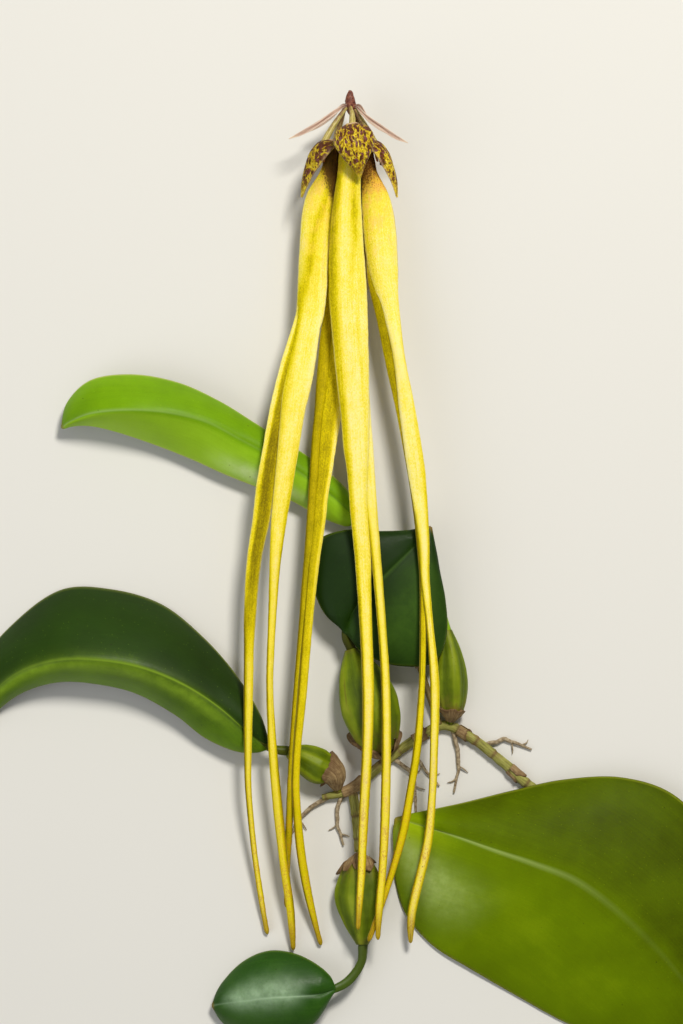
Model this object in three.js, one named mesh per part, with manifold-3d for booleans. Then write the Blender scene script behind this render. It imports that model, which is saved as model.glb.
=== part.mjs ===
// A long-tailed bulbophyllum orchid: creeping rhizome, five pseudobulbs with a leaf each, and one
// scape whose umbel holds four blooms. The whole plant lies on a table.
// Units are millimetres. +Z points up off the table and +Y runs along the flower cluster to its tip.
// Shapes are written in a working frame whose origin lies under the umbel, on the table; the last
// lines move the finished plant so that its origin is the middle of its bounding box's base.
import * as THREE from "three";
import { mergeVertices } from "three/addons/utils/BufferGeometryUtils.js";
import Module from "manifold-3d";

const wasm = await Module();
wasm.setup();

// Driving dimensions.
const SEPAL_THICKNESS = 1.1;
const SEPAL_DROOP = 0.12;
const LEAF_THICKNESS = 1.2;
const LEAF_SWELL_WIDTH = 8;
const HOOD_HALF_WIDTH = 6.2;
const HOOD_THICKNESS = 0.9;
const PETAL_LENGTH = 5;
const PETAL_HALF_WIDTH = 0.8;
const PETAL_TIP_HALF_WIDTH = 0.25;
const PETAL_SPREAD = 0.5;
const PETAL_THICKNESS = 0.8;
const BRACT_THICKNESS = 0.8;
const BRACT_DROOP = 0.2;
const PEDICEL_RADIUS = 0.6;
const OVARY_RADIUS = 1.1;
const SEAT_GAP = 0.3;
const RHIZOME_RADIUS = 1.5;
const SCAPE_RADIUS = 1.0;
const BULB_GROOVE = 0.1;

// How finely each shape is divided: rings along a sweep, rows along a sheet, and steps from a
// sheet's middle to its edge.
const SEPAL_RINGS = 26;
const PEDICEL_RINGS = 6;
const COLUMN_RINGS = 3;
const LIP_RINGS = 5;
const SCAPE_RINGS = 34;
const SHEATH_RINGS = 2;
const BRACT_RINGS = 7;
const RHIZOME_RINGS = 30;
const OFFSHOOT_RINGS = 6;
const ROOT_RINGS = 6;
const BULB_RINGS = 10;
const PETIOLE_RINGS = 8;
const LEAF_ROWS = 15;
const LEAF_HALF_ACROSS = 3;
const HOOD_ROWS = 8;
const HOOD_HALF_ACROSS = 3;
const PETAL_ROWS = 3;

// Colours, with roughness.
const FINISH = {
  sepal: { color: 0xecd532, roughness: 0.6 },
  hood: { color: 0xd8b62c, roughness: 0.55 },
  petal: { color: 0xc79a3a, roughness: 0.6 },
  lip: { color: 0x8a3b22, roughness: 0.45 },
  stalk: { color: 0x9a9a48, roughness: 0.55 },
  bract: { color: 0xa9826a, roughness: 0.8 },
  scape: { color: 0x6e5a2c, roughness: 0.6 },
  rhizome: { color: 0x7b7a40, roughness: 0.75 },
  bulb: { color: 0x6a7410, roughness: 0.5 },
  leaf: { color: 0x6f9a1e, roughness: 0.4 },
};

const UP = new THREE.Vector3(0, 0, 1);
const plant = new THREE.Group();

// ---------------------------------------------------------------- solids

// A closed solid from points and triangles, turned right side out. Nothing reaches under the table.
function solid(points, faces) {
  const vertProperties = new Float32Array(points.flatMap((p) => [p.x, p.y, Math.max(p.z, 0)]));
  const make = (triVerts) =>
    new wasm.Manifold(new wasm.Mesh({ numProp: 3, vertProperties, triVerts }));
  const body = make(new Uint32Array(faces));
  if (body.volume() > 0) return body;
  const turned = [];
  for (let i = 0; i < faces.length; i += 3) turned.push(faces[i], faces[i + 2], faces[i + 1]);
  return make(new Uint32Array(turned));
}

// Rings of points joined side to side, with a fan over each end.
function loft(rings) {
  const sides = rings[0].length;
  const points = rings.flat();
  const faces = [];
  for (let i = 0; i + 1 < rings.length; i++) {
    for (let j = 0; j < sides; j++) {
      const a = i * sides + j;
      const b = i * sides + ((j + 1) % sides);
      faces.push(a, b, b + sides, a, b + sides, a + sides);
    }
  }
  const last = (rings.length - 1) * sides;
  for (let j = 1; j + 1 < sides; j++) {
    faces.push(0, j + 1, j);
    faces.push(last, last + j, last + j + 1);
  }
  return solid(points, faces);
}

// A sheet of even thickness round a grid of points; both faces are split into triangles alike.
function sheet(grid, thickness) {
  const rows = grid.length;
  const across = grid[0].length;
  const at = (i, j) => grid[Math.min(Math.max(i, 0), rows - 1)][Math.min(Math.max(j, 0), across - 1)];
  const normal = (i, j) => {
    const along = at(i + 1, j).clone().sub(at(i - 1, j));
    const over = at(i, j + 1).clone().sub(at(i, j - 1));
    return along.cross(over).normalize().multiplyScalar(thickness / 2);
  };
  const points = [];
  for (const face of [1, -1]) {
    for (let i = 0; i < rows; i++) {
      for (let j = 0; j < across; j++) points.push(at(i, j).clone().addScaledVector(normal(i, j), face));
    }
  }
  const under = rows * across;
  const faces = [];
  for (let i = 0; i + 1 < rows; i++) {
    for (let j = 0; j + 1 < across; j++) {
      const a = i * across + j;
      const c = a + across;
      faces.push(a, a + 1, c + 1, a, c + 1, c);
      faces.push(under + a, under + c + 1, under + a + 1, under + a, under + c, under + c + 1);
    }
  }
  const rim = [];
  for (let j = 0; j < across; j++) rim.push(j);
  for (let i = 1; i < rows; i++) rim.push(i * across + across - 1);
  for (let j = across - 2; j >= 0; j--) rim.push((rows - 1) * across + j);
  for (let i = rows - 2; i > 0; i--) rim.push(i * across);
  rim.forEach((a, k) => {
    const b = rim[(k + 1) % rim.length];
    faces.push(b, a, a + under, b, a + under, b + under);
  });
  return solid(points, faces);
}

// ---------------------------------------------------------------- sweeps

const round = (sides, start = 0.5) =>
  Array.from({ length: sides }, (_, k) => {
    const angle = (2 * Math.PI * (k + start)) / sides;
    return [Math.cos(angle), Math.sin(angle)];
  });

// Five blunt ridges run along a pseudobulb, with a shallow groove between each two.
const RIDGED = round(10, 0).map(([a, b], k) => {
  const reach = k % 2 ? 1 : 1 - BULB_GROOVE;
  return [reach * a, reach * b];
});

// A strap is flat on both faces and thinner at its edges.
const STRAP = [
  [-1, -0.55],
  [-0.4, -1],
  [0.4, -1],
  [1, -0.55],
  [1, 0.55],
  [0.4, 1],
  [-0.4, 1],
  [-1, 0.55],
];

function smooth(stations) {
  const line = new THREE.CatmullRomCurve3(stations.map(([x, y, z]) => new THREE.Vector3(x, y, z)));
  const size = new THREE.CatmullRomCurve3(
    stations.map(([, , , a, b = a]) => new THREE.Vector3(a, b, 0)),
    false,
    "catmullrom",
  );
  return { line, size };
}

// Sweeps a section along stations of [x, y, z, half width, half height]. The section's first axis
// stays level, and droop lowers its two edges as a share of the half width.
function sweep(stations, section, rings, droop = 0) {
  const { line, size } = smooth(stations);
  const made = [];
  for (let i = 0; i <= rings; i++) {
    const u = i / rings;
    const centre = line.getPoint(u);
    const along = line.getTangent(u);
    const side = UP.clone().cross(along);
    if (side.length() < 0.05) side.set(1, 0, 0);
    side.normalize();
    const top = along.clone().cross(side);
    const { x: half, y: high } = size.getPoint(u);
    made.push(
      section.map(([a, b]) =>
        centre
          .clone()
          .addScaledVector(side, a * half)
          .addScaledVector(top, b * high - droop * half * a * a),
      ),
    );
  }
  return loft(made);
}

// ---------------------------------------------------------------- nodes

function add(name, body, finish) {
  const mesh = body.getMesh();
  const geometry = new THREE.BufferGeometry();
  geometry.setAttribute("position", new THREE.BufferAttribute(new Float32Array(mesh.vertProperties), 3));
  geometry.setIndex(new THREE.BufferAttribute(new Uint32Array(mesh.triVerts), 1));
  const node = new THREE.Mesh(mergeVertices(geometry), new THREE.MeshStandardMaterial(FINISH[finish]));
  node.geometry.computeVertexNormals();
  node.name = name;
  plant.add(node);
}

// ---------------------------------------------------------------- blooms

// heart is the top of the ovary. The dorsal sepal stands on its out side and the two lateral
// sepals on the other, seat millimetres from the heart; down is the way the bloom hangs.
// Each lateral sepal is a list of [x, y, z, half width].
const BLOOMS = [
  {
    name: "left",
    spine: "reaching",
    heart: [-7.8, -14.6, 15.2],
    down: [-0.3, -0.95, 0],
    out: [-0.9, 0.28, 0.34],
    seat: 2.4,
    hood: 0.84,
    pedicel: [
      [-1.7, -4.4, 13.9],
      [-4.2, -8, 14.4],
      [-6.6, -12, 15],
    ],
    laterals: [
      [
        [-7.5, -23.1, 12.8, 1.7],
        [-11, -31.5, 12.8, 2.6],
        [-12.6, -46.5, 13.2, 2.5],
        [-13.8, -61.5, 13.8, 2.5],
        [-20.1, -87, 15.2, 2.3],
        [-24.3, -111, 15.6, 2.3],
        [-28.4, -136, 14.4, 2.2],
        [-30.3, -165, 13, 1.5],
        [-30.6, -188, 11.8, 1.3],
        [-30.4, -210, 9, 0.95],
        [-28.9, -225, 5.5, 0.85],
        [-26.3, -243, 2, 0.8],
        [-24.9, -251.1, 0.9, 0.45],
      ],
      [
        [-6, -23.1, 13, 2.1],
        [-8, -31.5, 13.2, 3.2],
        [-9.6, -46.5, 13.8, 3.3],
        [-10.5, -61.5, 14.4, 3.9],
        [-16.2, -87, 15.8, 3.8],
        [-20.7, -111, 16.4, 3.2],
        [-22.2, -132, 15.6, 2],
        [-23.2, -153, 14.4, 1.25],
        [-24.1, -177, 13.4, 1.05],
        [-23.2, -195, 12.4, 1.3],
        [-21.6, -213, 10.4, 1.45],
        [-19.6, -231, 7.6, 1.3],
        [-18, -244, 4.4, 1.25],
        [-17.1, -255.9, 1, 0.5],
      ],
    ],
  },
  {
    name: "back",
    spine: "reaching",
    heart: [-4.2, -15.3, 7.4],
    down: [-0.05, -1, 0],
    out: [-0.12, 0, -0.99],
    seat: 2,
    hood: 0.8,
    pedicel: [
      [-1.8, -4.4, 11.8],
      [-2.6, -7, 10.4],
      [-3.8, -11, 8.4],
    ],
    laterals: [
      [
        [-6, -24, 9.4, 2],
        [-6.9, -34.5, 9, 2.6],
        [-7.2, -56, 8.8, 2.6],
        [-7.2, -76.5, 9.6, 2.4],
        [-9.8, -103.5, 10.6, 1.8],
        [-11.1, -127.5, 10.9, 1.7],
        [-13.4, -153, 11.2, 1.5],
        [-15.6, -178.5, 11.6, 1.4],
        [-17.1, -196.5, 11.4, 1.2],
        [-18.2, -214, 9.4, 1.05],
        [-19.1, -231, 4.6, 0.95],
        [-19.2, -243, 1.2, 0.6],
      ],
      [
        [-3.6, -24, 9.6, 2],
        [-3.9, -34.5, 9.4, 2.4],
        [-4.4, -56, 9.2, 2.4],
        [-4.8, -76.5, 10, 2.4],
        [-6.6, -103.5, 11.2, 2.3],
        [-9.3, -127.5, 12, 1.9],
        [-12.2, -153, 12.9, 1.5],
        [-14.4, -178.5, 13.4, 1.4],
        [-16.1, -196.5, 13, 1.2],
        [-16.1, -211.5, 11.6, 1.2],
        [-14.3, -229, 8, 1.3],
        [-11.6, -243, 3.8, 1],
        [-8.7, -254.4, 0.9, 0.5],
      ],
    ],
  },
  {
    name: "right",
    spine: "reaching",
    heart: [7.3, -14.6, 15.2],
    down: [0.3, -0.95, 0],
    out: [0.95, 0.3, 0.06],
    seat: 2.4,
    hood: 0.84,
    pedicel: [
      [2, -5.1, 14.3],
      [3.8, -8, 14.4],
      [6.1, -12, 15],
    ],
    laterals: [
      [
        [5.2, -24, 12.9, 1.8],
        [5.7, -33, 13, 2.4],
        [6.9, -45, 13.4, 2.5],
        [8.2, -57, 13.8, 2.7],
        [12.9, -81, 14.8, 2.4],
        [17.7, -105, 15.4, 2],
        [20.9, -129, 15.6, 1.6],
        [21.9, -150, 15.6, 1],
        [21.5, -175.5, 15.6, 0.95],
        [20.1, -195, 14.8, 1.2],
        [16.2, -219, 11.6, 1.3],
        [12.9, -231, 10.6, 1.05],
        [9, -242.4, 10.2, 0.95],
        [5.7, -252, 9.6, 0.5],
      ],
      [
        [6.5, -24, 12.9, 1.9],
        [8.8, -33, 13, 3.6],
        [10.8, -45, 13.4, 3.3],
        [11.4, -57, 13.8, 3.2],
        [13.9, -81, 15, 2.9],
        [18.6, -105, 16, 2.5],
        [21.6, -129, 16.4, 1.8],
        [23.2, -152, 16.6, 1.1],
        [25.4, -175.5, 16.6, 1.35],
        [25.3, -195, 15.6, 1.2],
        [24.3, -216, 12.2, 1.25],
        [21.3, -232.5, 9, 1.4],
        [18.8, -243.6, 6.2, 1.3],
        [18.3, -253.5, 3.4, 0.55],
      ],
    ],
  },
  {
    name: "center",
    spine: "arched",
    heart: [0.6, -10.5, 21],
    down: [0.16, -1, 0],
    out: [0, 0.1, 1],
    seat: 2,
    hood: 1,
    pedicel: [
      [0.2, -4.2, 15.4],
      [0.6, -6, 18.2],
      [0.7, -8.4, 20.4],
    ],
    laterals: [
      [
        [-2.1, -19.5, 18.6, 2],
        [-2.7, -27, 18.6, 2.6],
        [-2.4, -39, 18.6, 3],
        [-2.1, -61.5, 18.6, 3.4],
        [-0.8, -87, 18, 3.8],
        [2.1, -111, 17.4, 3.1],
        [3.9, -135, 16.8, 2.7],
        [4.9, -160, 17, 1.8],
        [5.4, -177, 17.2, 1.8],
        [5.2, -195, 16, 1.55],
        [4.3, -213, 13.8, 1.45],
        [3.5, -231, 12.4, 1.2],
        [2.4, -249, 11.2, 0.45],
      ],
      [
        [1.8, -19.5, 18.6, 2],
        [1.8, -27, 18.6, 2.6],
        [1.8, -39, 18.6, 3],
        [2.1, -61.5, 18.6, 3.1],
        [3.3, -87, 18.2, 2.9],
        [5.1, -111, 17.8, 2.1],
        [7.5, -135, 17.2, 1.4],
        [9.7, -160, 17, 1.25],
        [10.7, -177, 17, 1.3],
        [10.9, -195, 16.4, 1.35],
        [10.6, -213, 14.8, 1.4],
        [9.8, -231, 13.2, 1.2],
        [8.4, -252, 11.6, 0.5],
      ],
    ],
  },
];

// A hood's spine, as [down, out] from the heart: the front hood arches over, the others reach down.
const HOOD_SPINES = {
  arched: [
    [-1.6, 1.9],
    [0.6, 4.4],
    [4, 6.2],
    [8, 6.3],
    [11.8, 4.6],
    [14.6, 1.7],
  ],
  reaching: [
    [-1.6, 1.9],
    [0.6, 2.7],
    [4, 3.2],
    [8.5, 3.2],
    [13, 2.8],
    [17.3, 1.8],
  ],
};

// How far a hood's long edges are rolled in, as a share of its half width.
const HOOD_ROLL = { arched: 0.52, reaching: 0.68 };

// A hood's half width along its spine, as shares of its length and of its greatest half width.
const HOOD_OUTLINES = {
  arched: [
    [0, 0.3],
    [0.2, 0.82],
    [0.4, 1],
    [0.6, 0.74],
    [0.8, 0.36],
    [1, 0.07],
  ],
  reaching: [
    [0, 0.3],
    [0.2, 0.82],
    [0.4, 0.94],
    [0.6, 0.76],
    [0.8, 0.48],
    [1, 0.09],
  ],
};

// A bloom's own axes: out from the lateral sepals to the dorsal one, down the bloom, and side.
function axesOf(bloom) {
  const down = new THREE.Vector3(...bloom.down).normalize();
  const out = new THREE.Vector3(...bloom.out);
  out.addScaledVector(down, -out.dot(down)).normalize();
  const side = out.clone().cross(down);
  const heart = new THREE.Vector3(...bloom.heart);
  const place = (s, d, o) =>
    heart.clone().addScaledVector(side, s).addScaledVector(down, d).addScaledVector(out, o);
  return { down, out, side, heart, place };
}

// The column bends out over the lip, and its foot runs down to the lip's hinge.
// Both are [down, out, radius] from the heart.
const COLUMN = [
  [-0.6, 0, 0.9],
  [1, 0.35, 0.8],
  [2.6, 1.2, 0.6],
];
const COLUMN_FOOT = [
  [-0.6, 0, 0.9],
  [1.2, 0, 0.7],
  [2.4, -0.1, 0.5],
];

// Pedicel, ovary, column and foot are one piece; the pedicel widens evenly into the ovary.
function stalk(bloom) {
  const { heart, place } = axesOf(bloom);
  const widening = (OVARY_RADIUS - PEDICEL_RADIUS) / bloom.pedicel.length;
  const stations = bloom.pedicel.map((at, k) => [...at, PEDICEL_RADIUS + widening * k]);
  const pedicel = sweep([...stations, [...heart.toArray(), OVARY_RADIUS]], round(8), PEDICEL_RINGS);
  const reach = ([d, o, radius]) => [...place(0, d, o).toArray(), radius];
  const column = sweep(COLUMN.map(reach), round(6), COLUMN_RINGS);
  const foot = sweep(COLUMN_FOOT.map(reach), round(6), COLUMN_RINGS);
  return pedicel.add(column).add(foot);
}

// The dorsal sepal is a pointed hood: it rises off the ovary, arches over the column and comes
// down to its tip, with both long edges rolled in.
function dorsalSepal(bloom) {
  const { place } = axesOf(bloom);
  const roll = HOOD_ROLL[bloom.spine];
  const spine = new THREE.CatmullRomCurve3(
    HOOD_SPINES[bloom.spine].map(([d, o]) => new THREE.Vector3(0, d, o)),
  );
  const outline = new THREE.CatmullRomCurve3(
    HOOD_OUTLINES[bloom.spine].map(([u, half]) => new THREE.Vector3(u, half, 0)),
  );
  const grid = [];
  for (let i = 0; i <= HOOD_ROWS; i++) {
    const u = i / HOOD_ROWS;
    const { y: down, z: out } = spine.getPoint(u);
    const half = bloom.hood * HOOD_HALF_WIDTH * outline.getPoint(u).y;
    const row = [];
    for (let j = -HOOD_HALF_ACROSS; j <= HOOD_HALF_ACROSS; j++) {
      const s = j / HOOD_HALF_ACROSS;
      row.push(place(s * half, down, out - roll * half * s * s));
    }
    grid.push(row);
  }
  return sheet(grid, HOOD_THICKNESS);
}

// The two lateral sepals are grown together along their inner edges, and part into two long tails.
function lateralSepals(bloom) {
  const { place } = axesOf(bloom);
  const base = [...place(0, 0, -bloom.seat).toArray(), 1];
  const [outer, inner] = bloom.laterals.map((stations) => {
    const strap = [base, ...stations].map((at) => [...at, SEPAL_THICKNESS / 2]);
    return sweep(strap, STRAP, SEPAL_RINGS, SEPAL_DROOP);
  });
  return outer.add(inner);
}

// A petal is a small pointed flap beside the column, set off from the ovary and spreading
// outwards. PETAL_SETTING is where its base starts, as [down, out] from the heart.
const PETAL_SETTING = [0.4, -0.6];

function petal(bloom, hand) {
  const { place } = axesOf(bloom);
  const [start, low] = PETAL_SETTING;
  const clear = OVARY_RADIUS + SEAT_GAP + PETAL_HALF_WIDTH;
  const grid = [];
  for (let i = 0; i <= PETAL_ROWS; i++) {
    const u = i / PETAL_ROWS;
    const half = Math.max(PETAL_TIP_HALF_WIDTH, PETAL_HALF_WIDTH * Math.sqrt(1 - u * u));
    const middle = clear + PETAL_SPREAD * u;
    const down = start + PETAL_LENGTH * u;
    grid.push([-1, 0, 1].map((s) => place(hand * (middle + s * half), down, low)));
  }
  return sheet(grid, PETAL_THICKNESS);
}

// The lip is a fleshy tongue hinged to the column's foot, bent back on itself:
// [down, out, half width, half height].
const LIP = [
  [3.1, -0.1, 0.5, 0.4],
  [4.2, 0.6, 1, 0.5],
  [5.8, 0.5, 0.8, 0.45],
  [6.8, -0.1, 0.4, 0.35],
];

function lip(bloom) {
  const { place } = axesOf(bloom);
  const stations = LIP.map(([d, o, wide, high]) => [...place(0, d, o).toArray(), wide, high]);
  return sweep(stations, round(6), LIP_RINGS);
}

function addBloom(bloom) {
  add(`${bloom.name}_stalk`, stalk(bloom), "stalk");
  add(`${bloom.name}_dorsal_sepal`, dorsalSepal(bloom), "hood");
  add(`${bloom.name}_lateral_sepals`, lateralSepals(bloom), "sepal");
  add(`${bloom.name}_petal_left`, petal(bloom, -1), "petal");
  add(`${bloom.name}_petal_right`, petal(bloom, 1), "petal");
  add(`${bloom.name}_lip`, lip(bloom), "lip");
}

// ---------------------------------------------------------------- scape and bracts

const SCAPE = [
  [26.7, -188.4, 2.4, 1],
  [22.8, -177, 2.2, 1],
  [19.5, -166.5, 2.2, 1],
  [13.5, -151.5, 3.2, 1],
  [7.5, -134, 5.8, 1],
  [4.6, -115, 4.6, 1],
  [4.2, -97, 3, 1],
  [4.2, -62, 2.2, 1],
  [3.9, -32, 3, 1],
  [3.4, -16.5, 6, 1],
  [2.2, -7.5, 10.4, 1.05],
  [0.4, -3.6, 13, 1.7],
  [0, -0.6, 13.8, 1.3],
  [0, 1.5, 14, 0.4],
];

// Each sheath is a short papery collar that wraps the scape and stands a little open at its top.
const SHEATHS = [
  [
    [21.2, -172, 2.2, 1.25],
    [17.8, -162, 2.5, 1.6],
  ],
  [
    [4.3, -105, 3.8, 1.25],
    [4.2, -93, 2.8, 1.6],
  ],
  [
    [4.2, -58, 2.2, 1.25],
    [4.1, -46, 2.3, 1.6],
  ],
];

function scape() {
  const stations = SCAPE.map(([x, y, z, share]) => [x, y, z, share * SCAPE_RADIUS]);
  const stem = sweep(stations, round(8), SCAPE_RINGS);
  return SHEATHS.reduce((body, sheath) => body.add(sweep(sheath, round(8), SHEATH_RINGS)), stem);
}

// Papery bracts, one under each pedicel: lists of [x, y, z, half width].
const BRACTS = {
  bract_left: [
    [-1.5, -3.2, 14.7, 0.45],
    [-4.8, -5.4, 16.8, 0.75],
    [-9, -8.4, 17.4, 0.8],
    [-14.1, -11.4, 17, 0.8],
    [-18.3, -13.2, 16, 0.3],
  ],
  bract_right: [
    [1.9, -3.6, 14.9, 0.45],
    [4.8, -6.6, 17, 0.75],
    [9, -9.6, 17.4, 0.8],
    [13.5, -12.6, 16.8, 0.8],
    [17.4, -14.4, 15.6, 0.3],
  ],
  bract_back_left: [
    [-2, -2.8, 12.4, 0.45],
    [-5.2, -5.8, 11.6, 0.75],
    [-9.2, -8.7, 10.4, 0.75],
    [-12.8, -10.8, 8.6, 0.3],
  ],
  bract_back_right: [
    [2.8, -3, 13.2, 0.45],
    [5.1, -6.6, 12.2, 0.75],
    [9, -9.6, 11, 0.75],
    [12.4, -11.8, 9.2, 0.3],
  ],
};

function addBracts() {
  for (const [name, stations] of Object.entries(BRACTS)) {
    const flat = stations.map((at) => [...at, BRACT_THICKNESS / 2]);
    add(name, sweep(flat, STRAP, BRACT_RINGS, BRACT_DROOP), "bract");
  }
}

// ---------------------------------------------------------------- rhizome and pseudobulbs

// The rhizome's stations end in a share of its radius where it tapers.
const RHIZOME = [
  [-8.4, -211.5, 1.5, 0.6],
  [0, -209.1, 1.5],
  [10.5, -200.7, 1.5],
  [20.4, -193.5, 1.6],
  [28.5, -189.6, 1.6],
  [36, -192.9, 1.5],
  [46.5, -201, 1.5],
  [54, -207.6, 1.5],
  [75, -221.1, 1.5],
  [99, -237, 1.5],
  [123, -254.1, 1.5],
  [135, -263.1, 1.5],
  [142, -267, 1.5, 0.6],
];

// A short offshoot of the rhizome ends in the fifth pseudobulb.
const OFFSHOOT = [
  [0.6, -209, 1.5],
  [1.6, -215, 1.5],
  [2.4, -222, 1.5],
  [2.8, -227.8, 1.7],
];

// Wiry roots leave the underside of the rhizome and lie on the table: start, bend and end.
const ROOTS = [
  [[-6, -211], [-14, -216], [-19, -225]],
  [[-2, -209.5], [-4, -217], [-2, -226]],
  [[13, -199.5], [19, -205], [20, -216]],
  [[22, -193], [20, -198.5], [27, -208]],
  [[31, -190.5], [33, -199], [31.5, -210]],
  [[40, -196], [47, -194], [55, -197]],
  [[104, -240.5], [112, -238], [120, -241]],
  [[129, -258.4], [131, -251], [128, -244]],
];

// Height above the table and radius, at a root's start, bend and end.
const ROOT_TAPER = [
  [1.2, 0.7],
  [0.8, 0.6],
  [0.5, 0.4],
];

function rhizome() {
  const stations = RHIZOME.map(([x, y, z, share = 1]) => [x, y, z, RHIZOME_RADIUS * share]);
  const stem = sweep(stations, round(8), RHIZOME_RINGS);
  const offshoot = OFFSHOOT.map((at) => [...at, RHIZOME_RADIUS]);
  return ROOTS.reduce(
    (body, root) => {
      const tapered = root.map((at, k) => [...at, ...ROOT_TAPER[k]]);
      return body.add(sweep(tapered, round(6), ROOT_RINGS));
    },
    stem.add(sweep(offshoot, round(8), OFFSHOOT_RINGS)),
  );
}

// Pseudobulbs as [x, y, z, half width, half height], from the rhizome to the petiole.
const BULBS = [
  [
    [-3.8, -208.6, 2.5, 1.2, 1.2],
    [-5.2, -204.2, 4.4, 3.8, 3.6],
    [-9.6, -202, 4.5, 5.6, 5.4],
    [-14.6, -199.2, 5.4, 4.4, 4],
    [-18.6, -197.4, 5.4, 1.7, 1.7],
  ],
  [
    [9.9, -198.9, 2.7, 1.2, 1.2],
    [9, -195.6, 5, 5.4, 4.8],
    [6, -185, 6.3, 9.2, 7.6],
    [2.6, -174, 7.4, 6.8, 6],
    [0.2, -166.4, 7.4, 1.9, 1.9],
  ],
  [
    [30.4, -188, 2.7, 1.2, 1.2],
    [30.8, -184.6, 4, 3.6, 3.4],
    [30.6, -176.5, 4.1, 5, 4.9],
    [30, -167.5, 4.6, 3.7, 3.6],
    [29.1, -160.8, 4.4, 1.7, 1.7],
  ],
  [
    [136.3, -265.9, 2.7, 1.2, 1.2],
    [134.4, -268.4, 4.4, 4, 3.8],
    [130, -274, 4.6, 6.2, 5.6],
    [126, -278.8, 5.2, 4.2, 4],
    [123, -281.8, 5, 1.7, 1.7],
  ],
  [
    [2.9, -228.4, 2.7, 1.2, 1.2],
    [3, -232.2, 4.4, 5, 4.4],
    [3.3, -240.5, 4.6, 8, 5.6],
    [3.6, -249, 5, 5.6, 4.6],
    [3.8, -255.6, 5, 1.9, 1.9],
  ],
];

// ---------------------------------------------------------------- leaves

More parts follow.
